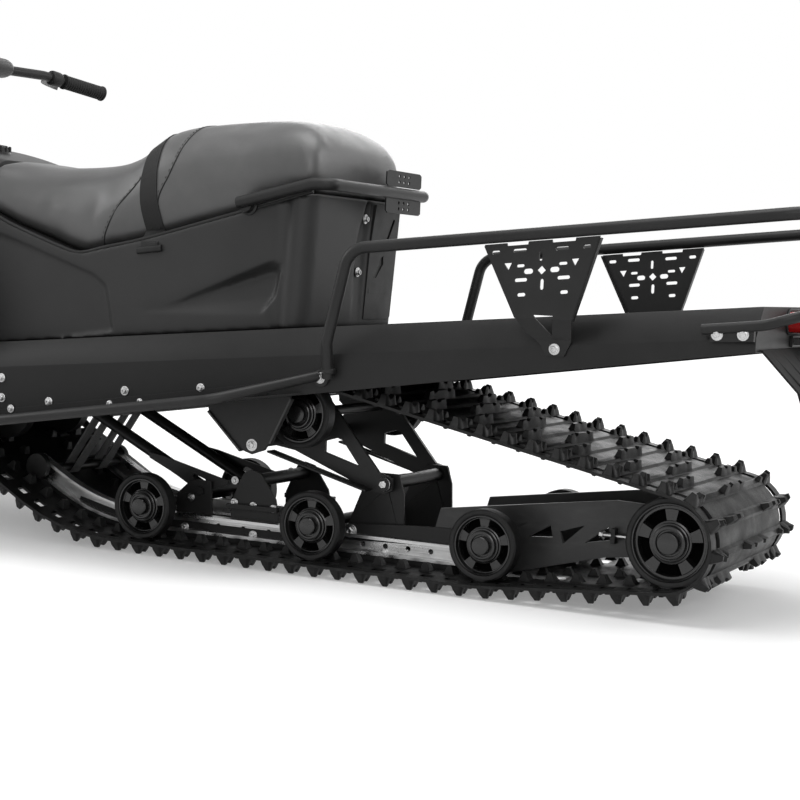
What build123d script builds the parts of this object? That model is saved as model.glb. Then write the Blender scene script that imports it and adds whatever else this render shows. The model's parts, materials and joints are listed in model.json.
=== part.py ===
from build123d import *
import math
import os

os.makedirs("parts", exist_ok=True)

# Lengths along the machine are measured forward from the rear idler axle,
# heights from the ground, and widths from the middle plane.

# Track loop
TRACK_WIDTH = 500
PITCH_COUNT = 72
BELT_THICKNESS = 5
LUG_HEIGHT = 21
LOW_LUG_HEIGHT = 8
LUG_FOOT = 22
LUG_TOP = 12
EDGE_LUG_WIDTH = 55
CENTRE_LUG_HALF = 60
DRIVE_LUG_Y = 162
DRIVE_LUG_WIDTH = 22
DRIVE_LUG_HEIGHT = 18
SEAT_GAP = 0.3
LINK_GAP = 1.6

# Wheels that carry the loop
IDLER_RADIUS = 66.5
IDLER_WIDTH = 30
IDLER_OUTER_Y = 213
IDLER_X = {"front": 1106, "middle": 716, "rear": 353}
REAR_WHEEL_RADIUS = 80
REAR_WHEEL_Z = 137
CARRIER_X = 749
CARRIER_Z = 306
SPROCKET_X = 1545
SPROCKET_Z = 258
SPROCKET_RADIUS = 72
AXLE_RADIUS = 10
HUB_RADIUS = 19
HUB_CAP_LENGTH = 9
RIM_THICKNESS = 11
DISC_THICKNESS = 8
POCKET_COUNT = 5

# Slide rails
RAIL_Y = 115
RAIL_WEB = 8
RAIL_HEIGHT = 38
RAIL_FLANGE = 7
RAIL_TOP_FLANGE_WIDTH = 22
RAIL_FOOT_WIDTH = 36
SLIDER_HEIGHT = 10
RAIL_REAR_X = 440
RAIL_BEND_X = 1150
BOW_RADIUS = 490
RAIL_TIP_LENGTH = 74
RAIL_HOLE_RADIUS = 5
TIP_ROLLER_RADIUS = 27
TIP_SHAFT_RADIUS = 7
TIP_HEIGHT = 29
TIP_REACH = 56

# Tunnel
TUNNEL_HALF = 268
TUNNEL_SHEET = 4
TUNNEL_REAR_X = -147
TUNNEL_FRONT_X = 1720
TUNNEL_TOP_Z = 539
TUNNEL_TOP_SLOPE = -0.0912
TUNNEL_EDGE_Z = 454
TUNNEL_EDGE_SLOPE = -0.150
TUNNEL_CHAMFER_DROP = 52
TUNNEL_CHAMFER_RUN = 38

# Running boards
BOARD_OUTER_Y = 425
BOARD_REAR_X = 730
BOARD_FRONT_X = 1660
BOARD_SHEET = 4
GUARD_RADIUS = 10

# Cargo rack
RACK_Y = 298
RACK_RADIUS = 11
RACK_FOOT_X = 646
RACK_REAR_X = -262
RACK_TOP_Z = 684
RACK_TOP_SLOPE = -0.100
RACK_CORNER = 70
PLATE_SHEET = 4

# Rear end
BUMPER_RADIUS = 9
BUMPER_REAR_X = -246
HITCH_HOLE_RADIUS = 10
HITCH_SHEET = 12
GRAB_RADIUS = 12

# Front end
SKI_Y = 450
SPINDLE_X = 2190
SPINDLE_RAKE = 20
SKI_HALF_WIDTH = 85
SKI_FRONT = 590
SKI_REAR = 450
SKI_TIP_HEIGHT = 170
STEER_ARM = 95
KINGPIN_RADIUS = 13
COLUMN_RADIUS = 12
BEARING_GAP = 0.4
COLUMN_TOP = (1745, 985)
COLUMN_BOTTOM = (2010, 560)
BAR_HALF = 360
BAR_RADIUS = 11
SHIELD_LENGTH = 700

# Middle of the overall length lies at zero
X_AXLE = -(SPINDLE_X + SKI_FRONT + RACK_REAR_X - RACK_RADIUS) / 2

BELT_INNER_Z = LUG_HEIGHT + BELT_THICKNESS
RAIL_BOTTOM_Z = BELT_INNER_Z + SLIDER_HEIGHT + SEAT_GAP
IDLER_Z = BELT_INNER_Z + IDLER_RADIUS + SEAT_GAP
IDLER_AT = {name: (x, IDLER_Z) for name, x in IDLER_X.items()}
IDLER_AT["rear"] = (IDLER_X["rear"], BELT_INNER_Z + IDLER_RADIUS + LINK_GAP)


def side_plane(y):
    """Plane seen from the left: local x runs forward from the rear axle, local y runs up."""
    return Plane(origin=(X_AXLE, y, 0), x_dir=(1, 0, 0), z_dir=(0, -1, 0))


def cross_plane(x):
    """Plane across the machine: local x runs to the left, local y runs up."""
    return Plane(origin=(X_AXLE + x, 0, 0), x_dir=(0, 1, 0), z_dir=(1, 0, 0))


def place(x, y, z):
    return (X_AXLE + x, y, z)


def tunnel_top(x):
    return TUNNEL_TOP_Z + TUNNEL_TOP_SLOPE * x


def tunnel_edge(x):
    return TUNNEL_EDGE_Z + TUNNEL_EDGE_SLOPE * x


def rack_height(x):
    return RACK_TOP_Z + RACK_TOP_SLOPE * x


def save(piece, name):
    """Write one finished piece under its own name."""
    piece.part.label = name
    export_step(piece.part, f"parts/{name}.step")


def mirrored(piece):
    """Right-hand copy of a left-hand piece."""
    with BuildPart() as other:
        add(mirror(piece.part, about=Plane.XZ, mode=Mode.PRIVATE))
    return other


def save_pair(piece, name):
    """Write the left-hand piece and its mirror image as two sub-parts."""
    save(piece, name + "_left")
    save(mirrored(piece), name + "_right")


def save_group(name, *pieces):
    """Write several separate solids of one sub-part."""
    with BuildPart() as group:
        for piece in pieces:
            add(piece.part)
    save(group, name)


def save_both(name, *pieces):
    """Write left-hand pieces and their mirror images as one sub-part."""
    save_group(name, *pieces, *[mirrored(piece) for piece in pieces])


def tube(points, bends, radius):
    """Round bar along straight runs joined by tangent bends."""
    with BuildPart() as piece:
        with BuildLine() as path:
            if len(points) == 2:
                Line(points[0], points[1])
            else:
                FilletPolyline(*points, radius=bends)
        with BuildSketch(Plane(origin=path.line @ 0, z_dir=path.line % 0)):
            Circle(radius)
        sweep(path=path.line)
    return piece


def plate(points, y_low, y_high):
    """Flat plate from its side outline."""
    with BuildPart() as piece:
        with BuildSketch(side_plane(y_high)):
            with BuildLine():
                Polyline(*points, close=True)
            make_face()
        extrude(amount=y_high - y_low)
    return piece


def cross_bar(x, z, y_low, y_high, radius):
    """Round bar across the machine."""
    with BuildPart() as piece:
        with BuildSketch(side_plane(y_high)):
            with Locations((x, z)):
                Circle(radius)
        extrude(amount=y_high - y_low)
    return piece


# Path of the loop round its circles

LOOP_CIRCLES = [
    (0, REAR_WHEEL_Z, REAR_WHEEL_RADIUS + LINK_GAP),
    (*IDLER_AT["rear"], IDLER_RADIUS + LINK_GAP),
    (RAIL_BEND_X, BELT_INNER_Z + BOW_RADIUS, BOW_RADIUS),
    (SPROCKET_X, SPROCKET_Z, SPROCKET_RADIUS),
    (CARRIER_X, CARRIER_Z, IDLER_RADIUS + LINK_GAP),
]


def loop_runs(offset):
    """Straight and curved runs of the loop at a distance outside its inner face."""
    circles = [(x, z, r + offset) for x, z, r in LOOP_CIRCLES]
    tangents = []
    for (x1, z1, r1), (x2, z2, r2) in zip(circles, circles[1:] + circles[:1]):
        span = math.hypot(x2 - x1, z2 - z1)
        heading = math.atan2(z2 - z1, x2 - x1) + math.asin((r1 - r2) / span)
        tangents.append(heading)
    runs = []
    for index, (x, z, r) in enumerate(circles):
        start = tangents[index - 1]
        turn = (tangents[index] - start) % (2 * math.pi)
        runs.append(("arc", x, z, r, start, turn))
        nx, nz, nr = circles[(index + 1) % len(circles)]
        heading = tangents[index]
        side = (math.sin(heading), -math.cos(heading))
        begin = (x + r * side[0], z + r * side[1])
        end = (nx + nr * side[0], nz + nr * side[1])
        runs.append(("line", begin, end, heading))
    return runs


def run_length(run):
    if run[0] == "arc":
        return run[3] * run[5]
    return math.hypot(run[2][0] - run[1][0], run[2][1] - run[1][1])


LOOP_RUNS = loop_runs(BELT_THICKNESS / 2)
LOOP_LENGTH = sum(run_length(run) for run in LOOP_RUNS)
PITCH = LOOP_LENGTH / PITCH_COUNT
APPROACH = LOOP_RUNS[5][3]


def loop_frame(distance):
    """Point on the loop's mid line and its heading, at a distance along the loop."""
    distance %= LOOP_LENGTH
    for run in LOOP_RUNS:
        length = run_length(run)
        if distance <= length:
            break
        distance -= length
    if run[0] == "arc":
        heading = run[4] + distance / run[3]
        return (run[1] + run[3] * math.sin(heading), run[2] - run[3] * math.cos(heading)), heading
    share = distance / length
    (x1, z1), (x2, z2) = run[1], run[2]
    return (x1 + share * (x2 - x1), z1 + share * (z2 - z1)), run[3]


def loop_point(distance, out):
    """Point at a distance along the loop and outside its mid line."""
    (x, z), heading = loop_frame(distance)
    return (x + out * math.sin(heading), z - out * math.cos(heading))


HALF_BELT = BELT_THICKNESS / 2


def toothed_ring(outer_heights, inner_heights):
    """Closed outlines of the belt with one tooth a pitch on each face, where its height isn't zero."""
    outer = []
    inner = []
    for row in range(PITCH_COUNT):
        middle = (row + 0.5) * PITCH
        outer.append(loop_point(row * PITCH, HALF_BELT))
        inner.append(loop_point(row * PITCH, -HALF_BELT))
        height = outer_heights[row % len(outer_heights)]
        if height:
            foot = LUG_FOOT / 2
            top = LUG_TOP / 2
            (x, z), heading = loop_frame(middle)
            for along, out in ((-foot, 0), (-top, height), (top, height), (foot, 0)):
                out += HALF_BELT
                outer.append((x + along * math.cos(heading) + out * math.sin(heading),
                              z + along * math.sin(heading) - out * math.cos(heading)))
        height = inner_heights[row % len(inner_heights)]
        if height:
            foot = LUG_FOOT / 2
            (x, z), heading = loop_frame(middle)
            for along, out in ((-foot, 0), (0, height), (foot, 0)):
                out = -out - HALF_BELT
                inner.append((x + along * math.cos(heading) + out * math.sin(heading),
                              z + along * math.sin(heading) - out * math.cos(heading)))
        else:
            inner.append(loop_point(middle, -HALF_BELT))
    return outer, inner


EDGE_Y = TRACK_WIDTH / 2 - EDGE_LUG_WIDTH
TRACK_ZONES = [
    (EDGE_Y, TRACK_WIDTH / 2, (LUG_HEIGHT,), (0,)),
    (DRIVE_LUG_Y + DRIVE_LUG_WIDTH / 2, EDGE_Y, (0, LUG_HEIGHT), (0,)),
    (DRIVE_LUG_Y - DRIVE_LUG_WIDTH / 2, DRIVE_LUG_Y + DRIVE_LUG_WIDTH / 2, (0, LUG_HEIGHT), (DRIVE_LUG_HEIGHT,)),
    (CENTRE_LUG_HALF, DRIVE_LUG_Y - DRIVE_LUG_WIDTH / 2, (0, LUG_HEIGHT), (0,)),
]

with BuildPart() as track:
    for y_low, y_high, outer_heights, inner_heights in TRACK_ZONES:
        outer, inner = toothed_ring(outer_heights, inner_heights)
        for side in (1, -1):
            start = y_high if side == 1 else -y_low
            with BuildSketch(side_plane(start)):
                with BuildLine():
                    Polyline(*outer, close=True)
                make_face()
                with BuildLine():
                    Polyline(*inner, close=True)
                make_face(mode=Mode.SUBTRACT)
            extrude(amount=y_high - y_low)
    outer, inner = toothed_ring((LUG_HEIGHT, 0), (0,))
    with BuildSketch(side_plane(CENTRE_LUG_HALF)):
        with BuildLine():
            Polyline(*outer, close=True)
        make_face()
        with BuildLine():
            Polyline(*inner, close=True)
        make_face(mode=Mode.SUBTRACT)
    extrude(amount=2 * CENTRE_LUG_HALF)
save(track, "track")


# Wheels on their axles

def wheel_half_profile(radius, inner_y, outer_y):
    """Half section of a wheel, as radius and distance from the middle plane."""
    disc_low = (inner_y + outer_y) / 2
    disc_high = disc_low + DISC_THICKNESS
    rim = radius - RIM_THICKNESS
    return [
        (0, inner_y), (HUB_RADIUS, inner_y), (HUB_RADIUS, disc_low), (rim, disc_low),
        (rim, inner_y), (radius, inner_y), (radius, outer_y), (rim, outer_y), (rim, disc_high),
        (HUB_RADIUS, disc_high), (HUB_RADIUS, outer_y), (HUB_RADIUS - 4, outer_y + HUB_CAP_LENGTH),
        (0, outer_y + HUB_CAP_LENGTH),
    ]


def wheel_axle(x, z, radius, inner_y, outer_y):
    """Two wheels on one axle, with pockets between the spokes."""
    with BuildPart() as piece:
        for side in (1, -1):
            section = Plane(origin=place(x, 0, z), x_dir=(1, 0, 0), z_dir=(0, 0, side))
            with BuildSketch(section):
                with BuildLine():
                    Polyline(*wheel_half_profile(radius, inner_y, outer_y), close=True)
                make_face()
            revolve(axis=Axis(place(x, 0, z), (0, 1, 0)))
        pocket_radius = (HUB_RADIUS + radius - RIM_THICKNESS) / 2
        pocket_size = (radius - RIM_THICKNESS - HUB_RADIUS) * 0.62
        with BuildSketch(Plane(origin=place(x, outer_y, z), x_dir=(1, 0, 0), z_dir=(0, -1, 0))):
            with PolarLocations(pocket_radius, POCKET_COUNT):
                Rectangle(pocket_size, pocket_size * 1.25)
        extrude(amount=2 * outer_y, mode=Mode.SUBTRACT)
        with BuildSketch(side_plane(inner_y)):
            with Locations((x, z)):
                Circle(AXLE_RADIUS)
        extrude(amount=2 * inner_y)
    return piece


IDLER_INNER_Y = IDLER_OUTER_Y - IDLER_WIDTH
save_group("idler_axles", *[wheel_axle(x, z, IDLER_RADIUS, IDLER_INNER_Y, IDLER_OUTER_Y)
                            for x, z in IDLER_AT.values()])
save(wheel_axle(0, REAR_WHEEL_Z, REAR_WHEEL_RADIUS, IDLER_INNER_Y, IDLER_OUTER_Y), "rear_axle")
save(wheel_axle(CARRIER_X, CARRIER_Z, IDLER_RADIUS, IDLER_INNER_Y, IDLER_OUTER_Y), "carrier_axle")

# Drive axle with two toothed sprockets
SPROCKET_WIDTH = 24
SPROCKET_Y = 95
DRIVE_AXLE_RADIUS = 16
with BuildPart() as drive_axle:
    with BuildSketch(side_plane(TUNNEL_HALF - TUNNEL_SHEET - SEAT_GAP)):
        with Locations((SPROCKET_X, SPROCKET_Z)):
            Circle(DRIVE_AXLE_RADIUS)
    extrude(amount=2 * (TUNNEL_HALF - TUNNEL_SHEET - SEAT_GAP))
    for middle in (SPROCKET_Y, -SPROCKET_Y):
        with BuildSketch(side_plane(middle + SPROCKET_WIDTH / 2)):
            with Locations((SPROCKET_X, SPROCKET_Z)):
                Circle(SPROCKET_RADIUS - 4)
        extrude(amount=SPROCKET_WIDTH)
save(drive_axle, "drive_axle")


# Slide rails, their sliders and rear extensions

def bow_strip(low, high, y_low, y_high):
    """Strip that follows the rail, between two heights above the belt's inner face."""
    angle = APPROACH
    centre_z = BELT_INNER_Z + BOW_RADIUS
    heading = (math.cos(angle), math.sin(angle))

    def at(height, turn, beyond):
        r = BOW_RADIUS - height
        return (RAIL_BEND_X + r * math.sin(turn) + beyond * heading[0],
                centre_z - r * math.cos(turn) + beyond * heading[1])

    low_bend = at(low, 0, 0)
    high_bend = at(high, 0, 0)
    with BuildPart() as strip:
        with BuildSketch(side_plane(y_high)):
            with BuildLine():
                Line((RAIL_REAR_X, low_bend[1]), low_bend)
                ThreePointArc(low_bend, at(low, angle / 2, 0), at(low, angle, 0))
                Polyline(at(low, angle, 0), at(low, angle, RAIL_TIP_LENGTH),
                         at(high, angle, RAIL_TIP_LENGTH), at(high, angle, 0))
                ThreePointArc(at(high, angle, 0), at(high, angle / 2, 0), high_bend)
                Polyline(high_bend, (RAIL_REAR_X, high_bend[1]), (RAIL_REAR_X, low_bend[1]))
            make_face()
        extrude(amount=y_high - y_low)
    return strip


RAIL_LOW = SLIDER_HEIGHT + SEAT_GAP
RAIL_HIGH = RAIL_LOW + RAIL_HEIGHT
WEB_IN = RAIL_Y - RAIL_WEB / 2
WEB_OUT = RAIL_Y + RAIL_WEB / 2
RAIL_HOLES_X = [499, 548, 597, 646, 800, 860, 920, 980]
CROSS_SHAFT_RADIUS = 9
STRAP_SHAFT = (1404, 134)
FLANGE_OUT = WEB_IN + RAIL_TOP_FLANGE_WIDTH
FOOT_IN = RAIL_Y - RAIL_FOOT_WIDTH / 2
FOOT_OUT = RAIL_Y + RAIL_FOOT_WIDTH / 2
RAIL_HOLE_Z = RAIL_BOTTOM_Z + RAIL_HEIGHT / 2
TIP_AT = (RAIL_BEND_X + (BOW_RADIUS - TIP_HEIGHT) * math.sin(APPROACH) + TIP_REACH * math.cos(APPROACH),
          BELT_INNER_Z + BOW_RADIUS - (BOW_RADIUS - TIP_HEIGHT) * math.cos(APPROACH)
          + TIP_REACH * math.sin(APPROACH))
rail_web = bow_strip(RAIL_LOW, RAIL_HIGH, WEB_IN, WEB_OUT)
rail_flange = bow_strip(RAIL_HIGH - RAIL_FLANGE, RAIL_HIGH, WEB_IN, FLANGE_OUT)
rail_foot = bow_strip(RAIL_LOW, RAIL_LOW + RAIL_FLANGE, FOOT_IN, FOOT_OUT)
with BuildPart() as rail:
    add(rail_web.part)
    add(rail_flange.part)
    add(rail_foot.part)
    with BuildSketch(side_plane(FOOT_OUT)):
        with Locations(*[(x, RAIL_HOLE_Z) for x in RAIL_HOLES_X]):
            Circle(RAIL_HOLE_RADIUS)
        with Locations(STRAP_SHAFT):
            Circle(CROSS_SHAFT_RADIUS + SEAT_GAP)
        with Locations(TIP_AT):
            Circle(TIP_SHAFT_RADIUS + SEAT_GAP)
        with Locations(*IDLER_AT.values()):
            Circle(AXLE_RADIUS + SEAT_GAP)
    extrude(amount=RAIL_FOOT_WIDTH, mode=Mode.SUBTRACT)
save_both("rails", rail)

save_both("sliders", bow_strip(SEAT_GAP, SLIDER_HEIGHT, FOOT_IN, FOOT_OUT))


# Rear extension plates, with truss openings between the rail's end and the last axle

SPLICE_SHEET = 5
SPLICE_REACH = 90
RAIL_TOP_Z = BELT_INNER_Z + RAIL_HIGH
EXT_END_X = RAIL_REAR_X - SEAT_GAP
EXT_OUTLINE = [
    (EXT_END_X, 36), (336, 34), (152, 83), (60, 94), (-30, 114), (-30, 158), (20, 186), (131, 190),
    (362, 158), (482, 141), (500, RAIL_TOP_Z + SEAT_GAP), (EXT_END_X, RAIL_TOP_Z + SEAT_GAP),
]
EXT_OPENINGS = [
    [(346, 120), (300, 134), (336, 108)],
    [(299, 106), (257, 131), (252, 110)],
    [(238, 122), (190, 138), (231, 100)],
    [(189, 106), (144, 140), (141, 116)],
]
BRACKET_LOW = BELT_INNER_Z + RAIL_LOW + RAIL_FLANGE + SEAT_GAP
with BuildPart() as extension:
    with BuildSketch(side_plane(WEB_OUT)):
        with BuildLine():
            Polyline(*EXT_OUTLINE, close=True)
        make_face()
        for opening in EXT_OPENINGS:
            with BuildLine():
                Polyline(*opening, close=True)
            make_face(mode=Mode.SUBTRACT)
        with Locations((0, REAR_WHEEL_Z), IDLER_AT["rear"]):
            Circle(AXLE_RADIUS + SEAT_GAP, mode=Mode.SUBTRACT)
    extrude(amount=RAIL_WEB)
    with BuildSketch(side_plane(WEB_IN)):
        with BuildLine():
            Polyline((RAIL_REAR_X - SPLICE_REACH / 3, BRACKET_LOW), (RAIL_REAR_X + SPLICE_REACH, BRACKET_LOW),
                     (RAIL_REAR_X + SPLICE_REACH, RAIL_TOP_Z), (RAIL_REAR_X - SPLICE_REACH / 3, RAIL_TOP_Z),
                     close=True)
        make_face()
    extrude(amount=SPLICE_SHEET)
save_both("rail_extensions", extension)

# Rollers at the rail tips
ROLLER_WIDTH = 14
with BuildPart() as tip_rollers:
    for start in (FOOT_OUT + 1 + ROLLER_WIDTH, -FOOT_OUT - 1):
        with BuildSketch(side_plane(start)):
            with Locations(TIP_AT):
                Circle(TIP_ROLLER_RADIUS)
        extrude(amount=ROLLER_WIDTH)
    with BuildSketch(side_plane(FOOT_OUT + 1)):
        with Locations(TIP_AT):
            Circle(TIP_SHAFT_RADIUS)
    extrude(amount=2 * (FOOT_OUT + 1))

# Skid arms, their brackets on the rails and their cross pins
BRACKET_SHEET = 5
BRACKET_IN = WEB_IN - BRACKET_SHEET
ARM_PIN_RADIUS = 8
ARM_TUBE_RADIUS = 13
REAR_PIVOT = (598, 177)
DROP_PIVOT = (825, 249)
FRONT_PIVOT = (1030, 122)
FRONT_TOP = (1415, 306)
ARM_CROSS = (1318, 260)
REAR_ARM_Y = 126
REAR_ARM_SHEET = 8
FRONT_TUBE_Y = 85
DROP_OUT = TUNNEL_HALF - TUNNEL_SHEET
DROP_SHEET = 6
DROP_IN = DROP_OUT - DROP_SHEET


def rail_bracket(outline, pin):
    """Plate on the rail's inner face with a hole for its cross pin."""
    with BuildPart() as piece:
        with BuildSketch(side_plane(WEB_IN)):
            with BuildLine():
                Polyline(*outline, close=True)
            make_face()
            with Locations(pin):
                Circle(ARM_PIN_RADIUS + SEAT_GAP, mode=Mode.SUBTRACT)
        extrude(amount=BRACKET_SHEET)
    return piece


REAR_BRACKET = [(560, BRACKET_LOW), (700, BRACKET_LOW), (684, 92), (652, 172), (622, 196), (578, 196), (566, 160)]
FRONT_BRACKET = [(1000, BRACKET_LOW), (1088, BRACKET_LOW), (1088, 112), (1064, 134), (1044, 144), (1006, 144)]
rear_bracket = rail_bracket(REAR_BRACKET, REAR_PIVOT)
front_bracket = rail_bracket(FRONT_BRACKET, FRONT_PIVOT)
save_both("skid_brackets", rear_bracket, front_bracket)

PIN_END = REAR_ARM_Y + REAR_ARM_SHEET / 2 + 8
with BuildPart() as rear_pivot:
    for radius, low, high in ((ARM_TUBE_RADIUS, -(BRACKET_IN - SEAT_GAP), BRACKET_IN - SEAT_GAP),
                              (ARM_PIN_RADIUS, -PIN_END, PIN_END),
                              (ARM_TUBE_RADIUS, PIN_END - 8 + SEAT_GAP, PIN_END),
                              (ARM_TUBE_RADIUS, -PIN_END, -PIN_END + 8 - SEAT_GAP)):
        with BuildSketch(side_plane(high)):
            with Locations(REAR_PIVOT):
                Circle(radius)
        extrude(amount=high - low)
save(rear_pivot, "rear_arm_pivot")

REAR_ARM = [(582, 166), (584, 190), (612, 198), (722, 326), (772, 326), (852, 266), (856, 234), (800, 226),
            (632, 162), (600, 158)]
REAR_ARM_WINDOW = [(655, 206), (694, 254), (706, 258), (733, 250), (733, 228)]
with BuildPart() as rear_arm:
    for middle in (REAR_ARM_Y, -REAR_ARM_Y):
        with BuildSketch(side_plane(middle + REAR_ARM_SHEET / 2)):
            with BuildLine():
                Polyline(*REAR_ARM, close=True)
            make_face()
            with BuildLine():
                Polyline(*REAR_ARM_WINDOW, close=True)
            make_face(mode=Mode.SUBTRACT)
            with Locations(REAR_PIVOT):
                Circle(ARM_PIN_RADIUS + SEAT_GAP, mode=Mode.SUBTRACT)
            with Locations((CARRIER_X, CARRIER_Z)):
                Circle(AXLE_RADIUS + SEAT_GAP, mode=Mode.SUBTRACT)
        extrude(amount=REAR_ARM_SHEET)
    with BuildSketch(side_plane(DROP_IN - SEAT_GAP)):
        with Locations(DROP_PIVOT):
            Circle(ARM_TUBE_RADIUS)
    extrude(amount=2 * (DROP_IN - SEAT_GAP))
save(rear_arm, "rear_arm")

ARM_RUN = (FRONT_TOP[0] - FRONT_PIVOT[0], FRONT_TOP[1] - FRONT_PIVOT[1])
FRONT_BARS = [
    (FRONT_PIVOT, ARM_TUBE_RADIUS, BRACKET_IN - SEAT_GAP),
    (FRONT_PIVOT, ARM_PIN_RADIUS, WEB_IN + 4),
    (FRONT_TOP, ARM_TUBE_RADIUS, DROP_OUT - SEAT_GAP),
    (ARM_CROSS, ARM_TUBE_RADIUS - 3, FRONT_TUBE_Y),
]
with BuildPart() as front_arm:
    for middle, radius, half in FRONT_BARS:
        with BuildSketch(side_plane(half)):
            with Locations(middle):
                Circle(radius)
        extrude(amount=2 * half)
    for y in (FRONT_TUBE_Y, -FRONT_TUBE_Y):
        foot = Plane(origin=place(FRONT_PIVOT[0], y, FRONT_PIVOT[1]), z_dir=(ARM_RUN[0], 0, ARM_RUN[1]))
        with BuildSketch(foot):
            Circle(ARM_TUBE_RADIUS - 1)
        extrude(amount=math.hypot(*ARM_RUN))
save(front_arm, "front_arm")

# Straps that limit the front arm, looped round its cross tube and a shaft between the rails
STRAP_SHEET = 3
STRAP_Y = 50
STRAP_WIDTH = 28
strap_shaft = cross_bar(*STRAP_SHAFT, -WEB_OUT, WEB_OUT, CROSS_SHAFT_RADIUS)
save_group("tip_shafts", tip_rollers, strap_shaft)
with BuildPart() as strap:
    for grow, mode in ((SEAT_GAP + STRAP_SHEET, Mode.ADD), (SEAT_GAP, Mode.SUBTRACT)):
        with BuildSketch(side_plane(STRAP_Y + STRAP_WIDTH / 2)):
            with Locations(ARM_CROSS):
                Circle(ARM_TUBE_RADIUS - 3 + grow)
            with Locations(STRAP_SHAFT):
                Circle(CROSS_SHAFT_RADIUS + grow)
            make_hull()
        extrude(amount=STRAP_WIDTH, mode=mode)
save_both("limit_straps", strap)

# Tunnel, an inverted trough with chamfered top corners
CHAMFER_INSET = TUNNEL_SHEET * 0.42


def tunnel_section(x, inset, drop):
    """Corner points across the trough at one place, drawn in by the sheet."""
    half = TUNNEL_HALF - inset
    crown = TUNNEL_HALF - TUNNEL_CHAMFER_RUN - (CHAMFER_INSET if inset else 0)
    top = tunnel_top(x) - inset
    bend = tunnel_top(x) - TUNNEL_CHAMFER_DROP - (CHAMFER_INSET if inset else 0)
    low = tunnel_edge(x) - drop
    return [(-half, low), (-half, bend), (-crown, top), (crown, top), (half, bend), (half, low)]


def tunnel_block(inset, rear_x, front_x, drop):
    with BuildPart() as block:
        for x in (rear_x, front_x):
            with BuildSketch(cross_plane(x)):
                with BuildLine():
                    Polyline(*tunnel_section(x, inset, drop), close=True)
                make_face()
        loft(ruled=True)
    return block


tunnel_outside = tunnel_block(0, TUNNEL_REAR_X, TUNNEL_FRONT_X, 0)
tunnel_inside = tunnel_block(TUNNEL_SHEET, TUNNEL_REAR_X + TUNNEL_SHEET, TUNNEL_FRONT_X + 10, 60)
with BuildPart() as tunnel:
    add(tunnel_outside.part)
    add(tunnel_inside.part, mode=Mode.SUBTRACT)
save(tunnel, "tunnel")

# Brackets under the tunnel that carry the rear arm
DROP_OUTLINE = [(735, 372), (737, 334), (772, 262), (790, 236), (818, 226), (846, 234), (918, 300), (926, 352)]
with BuildPart() as drop_bracket:
    with BuildSketch(side_plane(DROP_OUT)):
        with BuildLine():
            Polyline(*DROP_OUTLINE, close=True)
        make_face()
    extrude(amount=DROP_SHEET)
save_both("drop_brackets", drop_bracket)

# Running boards with slots, and the guard tubes along their edges
BOARD_SLOTS_X = [850 + 70 * step for step in range(11)]
BOARD_SLOTS_Y = [300, 347, 394]
BOARD_INNER_Y = TUNNEL_HALF + SEAT_GAP
with BuildPart() as board:
    with BuildSketch(side_plane(BOARD_OUTER_Y)):
        with BuildLine():
            Polyline((BOARD_REAR_X - 60, tunnel_edge(BOARD_REAR_X - 60)), (BOARD_FRONT_X, tunnel_edge(BOARD_FRONT_X)),
                     (BOARD_FRONT_X, tunnel_edge(BOARD_FRONT_X) + BOARD_SHEET),
                     (BOARD_REAR_X - 60, tunnel_edge(BOARD_REAR_X - 60) + BOARD_SHEET), close=True)
        make_face()
    extrude(amount=BOARD_OUTER_Y - BOARD_INNER_Y)
    with BuildSketch(Plane(origin=place(0, 0, 0))):
        with Locations(*[(x, y) for x in BOARD_SLOTS_X for y in BOARD_SLOTS_Y]):
            Rectangle(46, 18)
        with BuildLine():
            Polyline((BOARD_REAR_X - 61, BOARD_OUTER_Y + 1), (BOARD_REAR_X + 95, BOARD_OUTER_Y + 1),
                     (BOARD_REAR_X - 20, BOARD_INNER_Y), (BOARD_REAR_X - 61, BOARD_INNER_Y), close=True)
        make_face()
    extrude(amount=tunnel_edge(0), mode=Mode.SUBTRACT)
save_both("running_boards", board)

GUARD_Y = BOARD_OUTER_Y + GUARD_RADIUS + SEAT_GAP
GUARD_END_Y = TUNNEL_HALF + GUARD_RADIUS + SEAT_GAP
GUARD_END = (672, 386)
guard = tube([place(BOARD_FRONT_X, GUARD_Y, tunnel_edge(BOARD_FRONT_X) + 4),
              place(BOARD_REAR_X + 75, GUARD_Y, tunnel_edge(BOARD_REAR_X + 75) + 6),
              place(GUARD_END[0], GUARD_END_Y, GUARD_END[1])], [60], GUARD_RADIUS)
save_both("board_guards", guard)

# Cargo rack, one tube bent round the back with its ends down on the tunnel
RACK_END_Y = TUNNEL_HALF + RACK_RADIUS + SEAT_GAP
RACK_LEG_TOP = (605, rack_height(605))
rack_path = [place(650, RACK_END_Y, 384), place(645, RACK_Y, 450), place(RACK_LEG_TOP[0], RACK_Y, RACK_LEG_TOP[1]),
             place(RACK_REAR_X, RACK_Y, rack_height(RACK_REAR_X))]
rack_far = [(x, -y, z) for x, y, z in reversed(rack_path)]
rack = tube(rack_path + rack_far, [25, 45, RACK_CORNER, RACK_CORNER, 45, 25], RACK_RADIUS)
save(rack, "rack_rail")

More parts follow.
